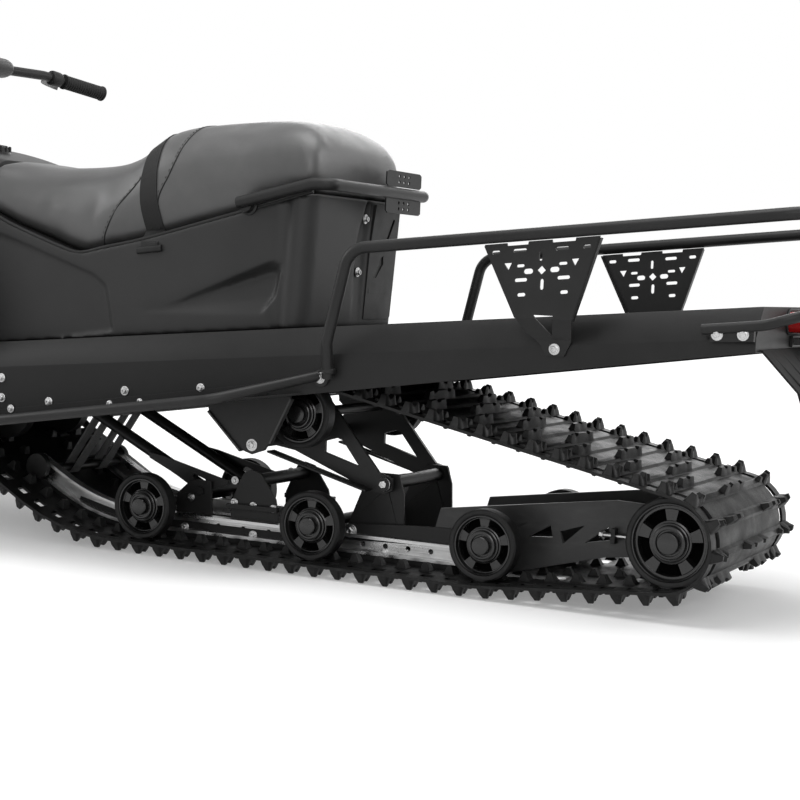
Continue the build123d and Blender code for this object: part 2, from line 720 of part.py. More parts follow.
# Side plates that carry the rack, folded in to the tunnel's side
PLATE_OUTLINE = [(335, 638), (122, 660), (167, 512), (176, 476), (188, 450), (222, 450), (233, 469), (256, 488),
                 (272, 514)]
PLATE_FOLD_Z = 514
PLATE_SEAT_Z = 478
PLATE_SLOTS = [(313, 622, 16, 6), (268, 627, 22, 6), (189, 634, 22, 6), (145, 638, 16, 6), (264, 598, 18, 6),
               (196, 604, 18, 6), (262, 576, 24, 6), (188, 582, 24, 6), (258, 552, 15, 6), (198, 557, 15, 6)]
PLATE_WINDOW = [(238, 520), (201, 520), (209, 484)]
plate_low = TUNNEL_HALF + SEAT_GAP
with BuildPart() as plate_outline:
    with BuildSketch(side_plane(RACK_Y + 20)):
        with BuildLine():
            Polyline(*PLATE_OUTLINE, close=True)
        make_face()
        with BuildLine():
            Polyline(*PLATE_WINDOW, close=True)
        make_face(mode=Mode.SUBTRACT)
        for x, z, width, height in PLATE_SLOTS:
            with Locations((x, z)):
                SlotOverall(width, height, rotation=5, mode=Mode.SUBTRACT)
        with Locations((226, 600)):
            Rectangle(12, 12, rotation=45, mode=Mode.SUBTRACT)
    extrude(amount=80)
with BuildPart() as rack_plate:
    with BuildSketch(cross_plane(80)):
        with BuildLine():
            Polyline((RACK_Y - PLATE_SHEET / 2, 700), (RACK_Y - PLATE_SHEET / 2, PLATE_FOLD_Z),
                     (plate_low, PLATE_SEAT_Z), (plate_low, 440), (plate_low + PLATE_SHEET, 440),
                     (plate_low + PLATE_SHEET, PLATE_SEAT_Z), (RACK_Y + PLATE_SHEET / 2, PLATE_FOLD_Z),
                     (RACK_Y + PLATE_SHEET / 2, 700), close=True)
        make_face()
    extrude(amount=300)
    add(plate_outline.part, mode=Mode.INTERSECT)
save_both("rack_plates", rack_plate)

# Rear bumper tube, snow flap, lamp and tow hitch
BUMPER_Y = TUNNEL_HALF + BUMPER_RADIUS + 2
bumper_path = [place(-58, BUMPER_Y, 510), place(-165, BUMPER_Y, 522), place(BUMPER_REAR_X, BUMPER_Y, 548)]
bumper_far = [(x, -y, z) for x, y, z in reversed(bumper_path)]
bumper_bar = tube(bumper_path + bumper_far, [150, 60, 60, 150], BUMPER_RADIUS)
BUMPER_TAB = [(-146, 480), (-72, 476), (-72, 500), (-146, 510)]
with BuildPart() as rear_bumper:
    add(bumper_bar.part)
    for start in (BUMPER_Y, -TUNNEL_HALF - SEAT_GAP):
        with BuildSketch(side_plane(start)):
            with BuildLine():
                Polyline(*[(x, z + 14) for x, z in BUMPER_TAB], close=True)
            make_face()
        extrude(amount=BUMPER_Y - TUNNEL_HALF - SEAT_GAP)
save(rear_bumper, "rear_bumper")

FLAP_SHEET = 5
FLAP_HALF = 245
FLAP_LINE = [(TUNNEL_REAR_X - SEAT_GAP, 480), (-214, 412), (-246, 320), (-252, 236)]
flap_back = [(x - FLAP_SHEET, z) for x, z in reversed(FLAP_LINE)]
save(plate(FLAP_LINE + flap_back, -FLAP_HALF, FLAP_HALF), "snow_flap")

LAMP_BOX = (34, 150, 36)
with BuildPart() as tail_lamp:
    with BuildSketch(cross_plane(TUNNEL_REAR_X - SEAT_GAP)):
        with Locations((0, 526)):
            RectangleRounded(LAMP_BOX[1], LAMP_BOX[2], 10)
    extrude(amount=-LAMP_BOX[0])
save(tail_lamp, "tail_lamp")

HITCH_HOLE_X = TUNNEL_REAR_X - 52
with BuildPart() as tow_hitch:
    with BuildSketch(cross_plane(TUNNEL_REAR_X - SEAT_GAP)):
        with Locations((0, 492)):
            Rectangle(90, 20)
    extrude(amount=-5)
    with BuildSketch(Plane(origin=place(0, 0, 486))):
        with BuildLine():
            Polyline((TUNNEL_REAR_X - 3, 36), (HITCH_HOLE_X, 22), (HITCH_HOLE_X, -22), (TUNNEL_REAR_X - 3, -36),
                     close=True)
        make_face()
        with Locations((HITCH_HOLE_X, 0)):
            Circle(22)
            Circle(HITCH_HOLE_RADIUS, mode=Mode.SUBTRACT)
    extrude(amount=HITCH_SHEET)
save(tow_hitch, "tow_hitch")

# Seat base and cushion
SEAT_HALF = 190
CUSHION_HALF = 182
SEAT_LINE = [(1560, 690), (1480, 652), (1335, 604), (1290, 598), (1234, 610), (1136, 630), (954, 677), (835, 708),
             (769, 729), (698, 742)]
BASE_REAR = [(712, 640)]
BASE_FOOT_X = (766, 1560)
with BuildPart() as seat_base:
    with BuildSketch(side_plane(SEAT_HALF)):
        with BuildLine():
            Polyline(*SEAT_LINE, *BASE_REAR, *[(x, tunnel_top(x) + SEAT_GAP) for x in BASE_FOOT_X], close=True)
        make_face()
    extrude(amount=2 * SEAT_HALF)
    fillet(seat_base.edges().filter_by(lambda edge: edge.center().X < X_AXLE + 770
                                       and abs(abs(edge.center().Y) - SEAT_HALF) < 1
                                       and 485 < edge.center().Z < 720 and edge.length > 60), radius=60)
save(seat_base, "seat_base")

CUSHION_TOP = [(690, 780), (712, 846), (760, 872), (1060, 858), (1130, 838), (1190, 796), (1260, 778), (1420, 772),
               (1560, 790)]
cushion_line = [(x, z + SEAT_GAP) for x, z in SEAT_LINE]
with BuildPart() as seat_cushion:
    with BuildSketch(side_plane(CUSHION_HALF)):
        with BuildLine():
            Polyline(*reversed(cushion_line), close=False)
            Spline(*reversed(CUSHION_TOP[3:]))
            Polyline(CUSHION_TOP[3], CUSHION_TOP[2], CUSHION_TOP[1], CUSHION_TOP[0], cushion_line[-1])
            Line(CUSHION_TOP[-1], cushion_line[0])
        make_face()
    extrude(amount=2 * CUSHION_HALF)
    top_edges = seat_cushion.edges().filter_by(lambda edge: abs(abs(edge.center().Y) - CUSHION_HALF) < 1
                                               and edge.center().Z > 770)
    fillet(top_edges, radius=28)
save(seat_cushion, "seat_cushion")

# Grab rail behind the seat
GRAB_Y = SEAT_HALF + GRAB_RADIUS + 4
grab_path = [place(900, GRAB_Y, 716), place(850, GRAB_Y, 744), place(600, GRAB_Y, 766)]
grab_far = [(x, -y, z) for x, y, z in reversed(grab_path)]
grab_bar = tube(grab_path + grab_far, [60, 90, 90, 60], GRAB_RADIUS)
with BuildPart() as grab_rail:
    add(grab_bar.part)
    for start in (GRAB_Y, -SEAT_HALF - SEAT_GAP):
        with BuildSketch(side_plane(start)):
            with Locations((893, 700)):
                Circle(16)
        extrude(amount=GRAB_Y - SEAT_HALF - SEAT_GAP)
save(grab_rail, "grab_rail")


# Front body, one smooth shell with an engine bay inside

BODY_SHEET = 5
BODY_SPLIT_Z = 430
BODY_SECTIONS = [
    (1726, 300, 232, 770, 95), (1880, 335, 214, 812, 125), (2080, 335, 208, 798, 130), (2300, 280, 226, 690, 120),
    (2470, 190, 272, 566, 85), (2560, 105, 330, 480, 50),
]
LAMP_Y = 118
LAMP_Z = 560
LAMP_SIZE = (130, 70)
ARCH_X = (2022, 2335)
ARCH_TOP = 425
ARCH_IN = 200


def body_block(inset, start, end):
    """Solid of the front body, drawn in all round by the sheet."""
    with BuildPart() as block:
        for index, (x, half, low, high, radius) in enumerate(BODY_SECTIONS):
            if index == 0:
                x += start
            if index == len(BODY_SECTIONS) - 1:
                x += end
            with BuildSketch(cross_plane(x)):
                with Locations((0, (low + high) / 2)):
                    RectangleRounded(2 * (half - inset), high - low - 2 * inset, radius - inset)
        loft()
    return block


body_outside = body_block(0, 0, 0)
body_inside = body_block(BODY_SHEET, -2, -BODY_SHEET)
with BuildPart() as body_shell:
    add(body_outside.part)
    add(body_inside.part, mode=Mode.SUBTRACT)


def box_cut(x_low, x_high, z_low, z_high, y_low, y_high):
    return plate([(x_low, z_low), (x_high, z_low), (x_high, z_high), (x_low, z_high)], y_low, y_high)


arch_left = box_cut(*ARCH_X, 150, ARCH_TOP, ARCH_IN, 400)
arch_right = box_cut(*ARCH_X, 150, ARCH_TOP, -400, -ARCH_IN)
ROD_HOLE = 34
ROD_X = 2002
ROD_Z = 338
rod_cut = cross_bar(ROD_X, ROD_Z, -400, 400, ROD_HOLE)
console_cut = box_cut(1700, 1806 + SEAT_GAP, 560, 900, -215, 215)
upper_cut = box_cut(1600, 2700, BODY_SPLIT_Z, 1000, -500, 500)
lower_cut = box_cut(1600, 2700, 100, BODY_SPLIT_Z + SEAT_GAP, -500, 500)
column_hole = Plane(origin=place(COLUMN_BOTTOM[0], 0, COLUMN_BOTTOM[1]),
                    z_dir=(COLUMN_TOP[0] - COLUMN_BOTTOM[0], 0, COLUMN_TOP[1] - COLUMN_BOTTOM[1]))
COLUMN_LENGTH = math.hypot(COLUMN_TOP[0] - COLUMN_BOTTOM[0], COLUMN_TOP[1] - COLUMN_BOTTOM[1])
lamp_blocks = []
for y in (LAMP_Y, -LAMP_Y):
    with BuildPart() as lamp_block:
        with BuildSketch(cross_plane(2300)):
            with Locations((y, LAMP_Z)):
                Ellipse(LAMP_SIZE[0] / 2, LAMP_SIZE[1] / 2)
        extrude(amount=240)
    lamp_blocks.append(lamp_block)

with BuildPart() as belly_pan:
    add(body_shell.part)
    add(upper_cut.part, mode=Mode.SUBTRACT)
    add(arch_left.part, mode=Mode.SUBTRACT)
    add(arch_right.part, mode=Mode.SUBTRACT)
    add(rod_cut.part, mode=Mode.SUBTRACT)
save(belly_pan, "belly_pan")

with BuildPart() as cowl:
    add(body_shell.part)
    add(lower_cut.part, mode=Mode.SUBTRACT)
    add(arch_left.part, mode=Mode.SUBTRACT)
    add(arch_right.part, mode=Mode.SUBTRACT)
    add(console_cut.part, mode=Mode.SUBTRACT)
    with BuildSketch(column_hole):
        Circle(32)
    extrude(amount=COLUMN_LENGTH + 100, mode=Mode.SUBTRACT)
    for y in (LAMP_Y, -LAMP_Y):
        with BuildSketch(cross_plane(2300)):
            with Locations((y, LAMP_Z)):
                Ellipse(LAMP_SIZE[0] / 2 + SEAT_GAP, LAMP_SIZE[1] / 2 + SEAT_GAP)
        extrude(amount=240, mode=Mode.SUBTRACT)
save(cowl, "cowl")

with BuildPart() as headlamp:
    add(body_shell.part)
    add(lamp_blocks[0].part, mode=Mode.INTERSECT)
save_both("headlamps", headlamp)

# Console between seat and handlebar
CONSOLE_SECTIONS = [(1566, 150, 470, 792, 60), (1700, 190, 500, 822, 70), (1806, 200, 570, 836, 60)]
with BuildPart() as console:
    for x, half, low, high, radius in CONSOLE_SECTIONS:
        with BuildSketch(cross_plane(x)):
            with Locations((0, (low + high) / 2)):
                RectangleRounded(2 * half, high - low, radius)
    loft()
save(console, "console")

# Side panels that close the body over the tunnel and carry the footwells
PANEL_SHEET = 5
PANEL_IN = 272
PANEL_LINE = [(1480, 300), (1640, 226), (1722, 226), (1722, 700), (1640, 720), (1500, 560)]
side_panel = plate(PANEL_LINE, PANEL_IN, PANEL_IN + PANEL_SHEET)

# Footwells, bent plates that rise in front of the running boards
WELL_SHEET = 4
WELL_OUT = 425
well_low = tunnel_edge(BOARD_FRONT_X)
with BuildPart() as footwell:
    with BuildSketch(side_plane(WELL_OUT)):
        with BuildLine():
            Polyline((BOARD_FRONT_X + SEAT_GAP, well_low), (1690, well_low), (1768, 300), (1782, 420), (1778, 420),
                     (1764, 302), (1688, well_low + WELL_SHEET), (BOARD_FRONT_X + SEAT_GAP, well_low + WELL_SHEET),
                     close=True)
        make_face()
    extrude(amount=WELL_OUT - PANEL_IN - PANEL_SHEET - SEAT_GAP)
    add(body_outside.part, mode=Mode.SUBTRACT)
save_both("side_panels", side_panel, footwell)

# Bulkhead, an open tray that joins tunnel, engine and front arms
TRAY_HALF = 196
TRAY_SHEET = 6
TRAY_LINE = [(TUNNEL_FRONT_X + SEAT_GAP, 262), (1900, 244), (2240, 244), (2336, 262), (2336, 400), (2240, 425),
             (TUNNEL_FRONT_X + SEAT_GAP, 425)]
with BuildPart() as bulkhead:
    with BuildSketch(side_plane(TRAY_HALF)):
        with BuildLine():
            Polyline(*TRAY_LINE, close=True)
        make_face()
    extrude(amount=2 * TRAY_HALF)
    with BuildSketch(side_plane(TRAY_HALF - TRAY_SHEET)):
        with BuildLine():
            Polyline((TUNNEL_FRONT_X + TRAY_SHEET, 270), (1900, 250), (2240, 250), (2330, 268), (2330, 500),
                     (TUNNEL_FRONT_X + TRAY_SHEET, 500), close=True)
        make_face()
    extrude(amount=2 * (TRAY_HALF - TRAY_SHEET), mode=Mode.SUBTRACT)
    for start in (TRAY_HALF, -TRAY_HALF + TRAY_SHEET):
        with BuildSketch(side_plane(start)):
            with BuildLine():
                Polyline((1950, 420), (2070, 420), (2040, 615), (1975, 615), close=True)
            make_face()
        extrude(amount=TRAY_SHEET)
    with BuildSketch(side_plane(TRAY_HALF)):
        with Locations((2002, 600)):
            Rectangle(36, 12)
    extrude(amount=2 * TRAY_HALF)
    with BuildSketch(column_hole):
        Circle(COLUMN_RADIUS + BEARING_GAP)
    extrude(amount=COLUMN_LENGTH, mode=Mode.SUBTRACT)
save(bulkhead, "bulkhead")

ENGINE_X = 1904
ENGINE_BOX = (330, 320, 250)
save(box_cut(ENGINE_X, ENGINE_X + ENGINE_BOX[0], 250 + SEAT_GAP, 250 + ENGINE_BOX[2], -ENGINE_BOX[1] / 2,
             ENGINE_BOX[1] / 2), "engine")

# Front suspension: legs round the kingpins, arms to the bulkhead
RAKE = math.radians(SPINDLE_RAKE)
AXIS_UP = (-math.sin(RAKE), 0, math.cos(RAKE))
AXIS_AHEAD = (math.cos(RAKE), 0, math.sin(RAKE))
SPINDLE_FOOT_Z = 100


def kingpin_plane(along):
    """Plane across the left kingpin, at a distance up its axis from the ski bolt."""
    return Plane(origin=place(SPINDLE_X + along * AXIS_UP[0], SKI_Y, SPINDLE_FOOT_Z + along * AXIS_UP[2]),
                 x_dir=AXIS_AHEAD, z_dir=AXIS_UP)


def on_kingpin(ahead, along):
    return (SPINDLE_X + ahead * AXIS_AHEAD[0] + along * AXIS_UP[0],
            SPINDLE_FOOT_Z + ahead * AXIS_AHEAD[2] + along * AXIS_UP[2])


LEG_RADIUS = 24
LEG_LOW = 40
LEG_HIGH = 255
with BuildPart() as leg:
    with BuildSketch(kingpin_plane(LEG_LOW)):
        Circle(LEG_RADIUS)
        Circle(KINGPIN_RADIUS + SEAT_GAP, mode=Mode.SUBTRACT)
    extrude(amount=LEG_HIGH - LEG_LOW)

ARM_RADIUS = 11
LOWER_END = on_kingpin(0, 65)
UPPER_END = on_kingpin(0, 225)
ARM_MOUNTS = [(LOWER_END, (2100, 275)), (LOWER_END, (2290, 275)), (UPPER_END, (2050, 372)), (UPPER_END, (2200, 372))]
with BuildPart() as front_arms:
    for (x1, z1), (x2, z2) in ARM_MOUNTS:
        run = (x2 - x1, TRAY_HALF - SKI_Y, z2 - z1)
        with BuildSketch(Plane(origin=place(x1, SKI_Y, z1), z_dir=run)):
            Circle(ARM_RADIUS)
        extrude(amount=math.hypot(*run) + 20)
    with BuildSketch(kingpin_plane(LEG_LOW - 40)):
        Circle(LEG_RADIUS + SEAT_GAP)
    extrude(amount=LEG_HIGH + 40, mode=Mode.SUBTRACT)
    with BuildSketch(side_plane(TRAY_HALF + SEAT_GAP)):
        with Locations((2150, 320)):
            Rectangle(500, 300)
    extrude(amount=60, mode=Mode.SUBTRACT)
save_both("front_suspension", leg, front_arms)

# Spindles with their steering arms, and the tie rods
ARM_PLATE_LOW = LEG_HIGH + 8
ARM_PLATE = 14
EYE_GAP = 4
STUD_RADIUS = 6
with BuildPart() as spindle:
    with BuildSketch(kingpin_plane(-22)):
        Rectangle(52, 44)
    extrude(amount=52)
    with BuildSketch(kingpin_plane(0)):
        Circle(KINGPIN_RADIUS)
    extrude(amount=ARM_PLATE_LOW + ARM_PLATE)
    with BuildSketch(kingpin_plane(ARM_PLATE_LOW)):
        Circle(22)
        with Locations((-STEER_ARM / 2, 0)):
            Rectangle(STEER_ARM, 28)
        with Locations((-STEER_ARM, 0)):
            Circle(14)
    extrude(amount=ARM_PLATE)
    with BuildSketch(kingpin_plane(ARM_PLATE_LOW + ARM_PLATE)):
        with Locations((-STEER_ARM, 0)):
            Circle(STUD_RADIUS)
    extrude(amount=22)
    with BuildSketch(side_plane(SKI_Y + 30)):
        with Locations((SPINDLE_X, SPINDLE_FOOT_Z)):
            Circle(8 + SEAT_GAP)
    extrude(amount=60, mode=Mode.SUBTRACT)
save_pair(spindle, "spindle")

ROD_LENGTH = 170
with BuildPart() as tie_rod:
    with BuildSketch(kingpin_plane(ARM_PLATE_LOW + ARM_PLATE + EYE_GAP)):
        with Locations((-STEER_ARM, 0)):
            Circle(14)
            Circle(STUD_RADIUS + SEAT_GAP, mode=Mode.SUBTRACT)
    extrude(amount=14)
    with BuildSketch(side_plane(SKI_Y - 12)):
        with Locations((ROD_X, ROD_Z)):
            Circle(6.5)
    extrude(amount=ROD_LENGTH)
save_pair(tie_rod, "tie_rod")

# Skis with keel, saddle and loop
SKI_SHEET = 16
SKI_FLOOR = 12
SKI_BEND_X = SPINDLE_X + 320
SKI_BEND_R = 330
SKI_TURN = math.asin((SPINDLE_X + SKI_FRONT - SKI_BEND_X) / SKI_BEND_R)


def ski_strip(low, high, rear_x, y_half, turn):
    """Strip along the ski between two heights over its floor."""
    centre_z = SKI_FLOOR + SKI_BEND_R

    def at(height, angle):
        return (SKI_BEND_X + (SKI_BEND_R - height) * math.sin(angle),
                centre_z - (SKI_BEND_R - height) * math.cos(angle))

    with BuildPart() as strip:
        with BuildSketch(side_plane(SKI_Y + y_half)):
            with BuildLine():
                Line((rear_x, SKI_FLOOR + low), at(low, 0))
                ThreePointArc(at(low, 0), at(low, turn / 2), at(low, turn))
                Line(at(low, turn), at(high, turn))
                ThreePointArc(at(high, turn), at(high, turn / 2), at(high, 0))
                Polyline(at(high, 0), (rear_x, SKI_FLOOR + high), (rear_x, SKI_FLOOR + low))
            make_face()
        extrude(amount=2 * y_half)
    return strip


ski_base = ski_strip(0, SKI_SHEET, SPINDLE_X - SKI_REAR, SKI_HALF_WIDTH, SKI_TURN)
ski_ridge = ski_strip(SKI_SHEET - 1, SKI_SHEET + 14, SPINDLE_X - SKI_REAR + 40, 26, SKI_TURN * 0.8)
ski_keel = ski_strip(-SKI_FLOOR, 1, SPINDLE_X - SKI_REAR + 60, 12, SKI_TURN * 0.45)
SKI_TOP_Z = SKI_FLOOR + SKI_SHEET + 14
with BuildPart() as ski:
    add(ski_base.part)
    with BuildSketch(Plane(origin=place(0, 0, 0))):
        with BuildLine():
            rear = SPINDLE_X - SKI_REAR
            tip = SPINDLE_X + SKI_FRONT + 1
            Line((rear, SKI_Y - SKI_HALF_WIDTH + 20), (rear + 60, SKI_Y - SKI_HALF_WIDTH))
            Line((rear + 60, SKI_Y - SKI_HALF_WIDTH), (tip - 160, SKI_Y - SKI_HALF_WIDTH))
            ThreePointArc((tip - 160, SKI_Y - SKI_HALF_WIDTH), (tip - 52, SKI_Y - 66), (tip, SKI_Y))
            ThreePointArc((tip, SKI_Y), (tip - 52, SKI_Y + 66), (tip - 160, SKI_Y + SKI_HALF_WIDTH))
            Line((tip - 160, SKI_Y + SKI_HALF_WIDTH), (rear + 60, SKI_Y + SKI_HALF_WIDTH))
            Line((rear + 60, SKI_Y + SKI_HALF_WIDTH), (rear, SKI_Y + SKI_HALF_WIDTH - 20))
            Line((rear, SKI_Y + SKI_HALF_WIDTH - 20), (rear, SKI_Y - SKI_HALF_WIDTH + 20))
        make_face()
    extrude(amount=400, mode=Mode.INTERSECT)
    add(ski_ridge.part)
    add(ski_keel.part)
save_pair(ski, "ski")

with BuildPart() as saddle:
    with BuildSketch(side_plane(SKI_Y + 29)):
        with BuildLine():
            Polyline((SPINDLE_X - 60, SKI_TOP_Z + SEAT_GAP), (SPINDLE_X + 60, SKI_TOP_Z + SEAT_GAP),
                     (SPINDLE_X + 22, 116), (SPINDLE_X - 22, 116), close=True)
        make_face()
    extrude(amount=58)
    with BuildSketch(side_plane(SKI_Y + 23)):
        with BuildLine():
            Polyline((SPINDLE_X - 90, SKI_TOP_Z + 9), (SPINDLE_X + 90, SKI_TOP_Z + 9), (SPINDLE_X + 90, 190),
                     (SPINDLE_X - 90, 190), close=True)
        make_face()
    extrude(amount=46, mode=Mode.SUBTRACT)
    with BuildSketch(side_plane(SKI_Y + 36)):
        with Locations((SPINDLE_X, SPINDLE_FOOT_Z)):
            Circle(8)
    extrude(amount=72)

LOOP_RADIUS = 8
tip_x = SPINDLE_X + SKI_FRONT
loop_bar = tube([place(tip_x - 42, SKI_Y, 118), place(tip_x - 70, SKI_Y, 208), place(tip_x - 240, SKI_Y, 150),
                 place(tip_x - 310, SKI_Y, 46)], [40, 60], LOOP_RADIUS)
with BuildPart() as ski_loop:
    add(loop_bar.part)
    add(ski.part, mode=Mode.SUBTRACT)
for side, fitting, handle in (("left", saddle, ski_loop), ("right", mirrored(saddle), mirrored(ski_loop))):
    save_group(f"ski_fittings_{side}", fitting, handle)

# Steering column, handlebar and grips
with BuildPart() as steering_column:
    with BuildSketch(column_hole):
        Circle(COLUMN_RADIUS)
    extrude(amount=COLUMN_LENGTH)
save(steering_column, "steering_column")

COLUMN_UP = ((COLUMN_TOP[0] - COLUMN_BOTTOM[0]) / COLUMN_LENGTH, (COLUMN_TOP[1] - COLUMN_BOTTOM[1]) / COLUMN_LENGTH)
BAR_AT = (COLUMN_TOP[0] + COLUMN_UP[0] * 30, COLUMN_TOP[1] + COLUMN_UP[1] * 30)
bar_half = [place(BAR_AT[0] - 62, BAR_HALF, BAR_AT[1] - 22), place(BAR_AT[0] - 26, 190, BAR_AT[1]),
            place(BAR_AT[0], 70, BAR_AT[1])]
bar_far = [(x, -y, z) for x, y, z in reversed(bar_half)]
bar = tube(bar_half + bar_far, [70, 50, 50, 70], BAR_RADIUS)
top_plane = Plane(origin=place(COLUMN_TOP[0], 0, COLUMN_TOP[1]), x_dir=(0, 1, 0),
                  z_dir=(COLUMN_UP[0], 0, COLUMN_UP[1]))
with BuildPart() as handlebar:
    add(bar.part)
    with BuildSketch(top_plane.offset(SEAT_GAP)):
        RectangleRounded(110, 50, 12)
    extrude(amount=46)
save(handlebar, "handlebar")

GRIP_LENGTH = 118
grip_axis = (bar_half[0][0] - bar_half[1][0], bar_half[0][1] - bar_half[1][1], bar_half[0][2] - bar_half[1][2])
with BuildPart() as grip:
    with BuildSketch(Plane(origin=bar_half[0], z_dir=tuple(-value for value in grip_axis)).offset(-4)):
        Circle(17)
    extrude(amount=GRIP_LENGTH)
    add(bar.part, mode=Mode.SUBTRACT)
save_both("grips", grip)

# Windshield, a bent sheet raked back from the cowl
SHIELD_FOOT_Z = 640
SHIELD_RAKE = 30
SHIELD_SHEET = 4
shield_lean = (-math.sin(math.radians(SHIELD_RAKE)), 0, math.cos(math.radians(SHIELD_RAKE)))
with BuildPart() as windshield:
    with BuildSketch(Plane(origin=place(0, 0, SHIELD_FOOT_Z))):
        with BuildLine():
            ThreePointArc((2185, 245), (2315, 0), (2185, -245))
            Line((2185, -245), (2185 - SHIELD_SHEET, -245))
            ThreePointArc((2185 - SHIELD_SHEET, -245), (2315 - SHIELD_SHEET, 0), (2185 - SHIELD_SHEET, 245))
            Line((2185 - SHIELD_SHEET, 245), (2185, 245))
        make_face()
    extrude(amount=SHIELD_LENGTH, dir=shield_lean)
    add(body_outside.part, mode=Mode.SUBTRACT)
save(windshield, "windshield")

# Front bumper
FRONT_BUMPER_RADIUS = 12
front_path = [place(2400, 160, 330), place(2655, 150, 350)]
front_far = [(x, -y, z) for x, y, z in reversed(front_path)]
front_bar = tube(front_path + front_far, [60, 60], FRONT_BUMPER_RADIUS)
with BuildPart() as front_bumper:
    add(front_bar.part)
    add(body_outside.part, mode=Mode.SUBTRACT)
save(front_bumper, "front_bumper")
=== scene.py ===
import json
import math
import random

import bmesh
import bpy
from mathutils import Matrix, Vector
from mathutils.bvhtree import BVHTree

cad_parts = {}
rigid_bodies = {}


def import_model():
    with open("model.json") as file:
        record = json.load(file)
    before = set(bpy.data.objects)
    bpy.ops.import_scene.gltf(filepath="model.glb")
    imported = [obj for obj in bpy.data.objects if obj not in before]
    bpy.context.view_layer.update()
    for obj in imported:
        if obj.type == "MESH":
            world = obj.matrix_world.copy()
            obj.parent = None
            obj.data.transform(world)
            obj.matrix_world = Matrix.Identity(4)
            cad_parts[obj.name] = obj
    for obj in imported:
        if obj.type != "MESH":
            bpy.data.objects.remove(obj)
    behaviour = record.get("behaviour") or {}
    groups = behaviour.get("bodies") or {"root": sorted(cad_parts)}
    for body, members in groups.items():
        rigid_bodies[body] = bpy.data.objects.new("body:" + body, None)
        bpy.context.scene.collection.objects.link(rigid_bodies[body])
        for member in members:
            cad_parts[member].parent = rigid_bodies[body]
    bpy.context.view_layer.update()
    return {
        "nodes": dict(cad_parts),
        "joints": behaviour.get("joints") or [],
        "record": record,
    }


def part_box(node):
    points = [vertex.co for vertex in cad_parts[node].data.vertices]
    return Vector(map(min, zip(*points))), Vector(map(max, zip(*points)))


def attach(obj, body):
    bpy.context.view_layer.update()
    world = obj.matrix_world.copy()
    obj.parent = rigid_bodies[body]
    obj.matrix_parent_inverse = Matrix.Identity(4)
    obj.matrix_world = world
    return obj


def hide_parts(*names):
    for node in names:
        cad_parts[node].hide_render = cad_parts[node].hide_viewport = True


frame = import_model()

MM = 0.001
FORWARD, LEFT, UP = Vector((1, 0, 0)), Vector((0, 1, 0)), Vector((0, 0, 1))
BOTH = (1, -1)
SIDES = ((1, "left"), (-1, "right"))
rng = random.Random(7)


def middle_of(node):
    low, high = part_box(node)
    return (low + high) / 2


# Places are given in millimetres: forward from the rear axle, to the left, and up from the floor
AXLE_X = middle_of("rear_axle").x


def at(x, y, z):
    return Vector((AXLE_X + x * MM, y * MM, z * MM))


# Finishes

COLOUR, NUMBER, DIRECTION = "NodeSocketColor", "NodeSocketFloat", "NodeSocketVector"
FINISH = {}


def grey(level):
    return (level, level, level, 1)


def add(tree, kind, operation=None, colours=False, group=None, **values):
    """New shader node with its values; an underscore stands for the space in a socket's name."""
    node = tree.nodes.new("ShaderNode" + kind)
    if operation:
        node.operation = operation
    if colours:
        node.data_type = "RGBA"
    if group:
        node.node_tree = group
    for label, value in values.items():
        node.inputs[label.replace("_", " ")].default_value = value
    return node


def wire(tree, *joins):
    """Join nodes, each time from an output of one to an input of another."""
    for source, output, target, socket in joins:
        tree.links.new(source.outputs[output], target.inputs[socket])


def shader_group(name, inputs, outputs):
    """Empty shader node group with named sockets."""
    group = bpy.data.node_groups.new(name, "ShaderNodeTree")
    for label, kind, value in inputs:
        socket = group.interface.new_socket(label, in_out="INPUT", socket_type=kind)
        socket.default_value = value
    for label, kind in outputs:
        group.interface.new_socket(label, in_out="OUTPUT", socket_type=kind)
    return group, group.nodes.new("NodeGroupInput"), group.nodes.new("NodeGroupOutput")


def mottle_group():
    """Slow and fine colour variation between two colours."""
    group, start, end = shader_group(
        "mottle", [("Dark", COLOUR, grey(0.02)), ("Light", COLOUR, grey(0.05)), ("Scale", NUMBER, 6.0)],
        [("Color", COLOUR), ("Mask", NUMBER)])
    place, noise = add(group, "TexCoord"), add(group, "TexNoise", Detail=6, Roughness=0.62)
    ramp, mix = add(group, "MapRange", From_Min=0.32, From_Max=0.7), add(group, "Mix", colours=True)
    wire(group, (place, "Object", noise, "Vector"), (start, "Scale", noise, "Scale"), (noise, "Fac", ramp, "Value"),
         (ramp, "Result", mix, "Factor"), (start, "Dark", mix, "A"), (start, "Light", mix, "B"),
         (mix, "Result", end, "Color"), (ramp, "Result", end, "Mask"))
    return group


def grain_group():
    """Normal of a fine grained or sprayed surface."""
    group, start, end = shader_group(
        "grain", [("Scale", NUMBER, 900.0), ("Strength", NUMBER, 0.2), ("Cells", NUMBER, 0.0)],
        [("Normal", DIRECTION)])
    place, noise, cells = add(group, "TexCoord"), add(group, "TexNoise", Detail=3), add(group, "TexVoronoi")
    cells.feature = "DISTANCE_TO_EDGE"
    mix, bump = add(group, "Mix"), add(group, "Bump", Distance=0.0006)
    for texture in (noise, cells):
        wire(group, (place, "Object", texture, "Vector"), (start, "Scale", texture, "Scale"))
    wire(group, (start, "Cells", mix, "Factor"), (noise, "Fac", mix, "A"), (cells, "Distance", mix, "B"),
         (mix, "Result", bump, "Height"), (start, "Strength", bump, "Strength"), (bump, "Normal", end, "Normal"))
    return group


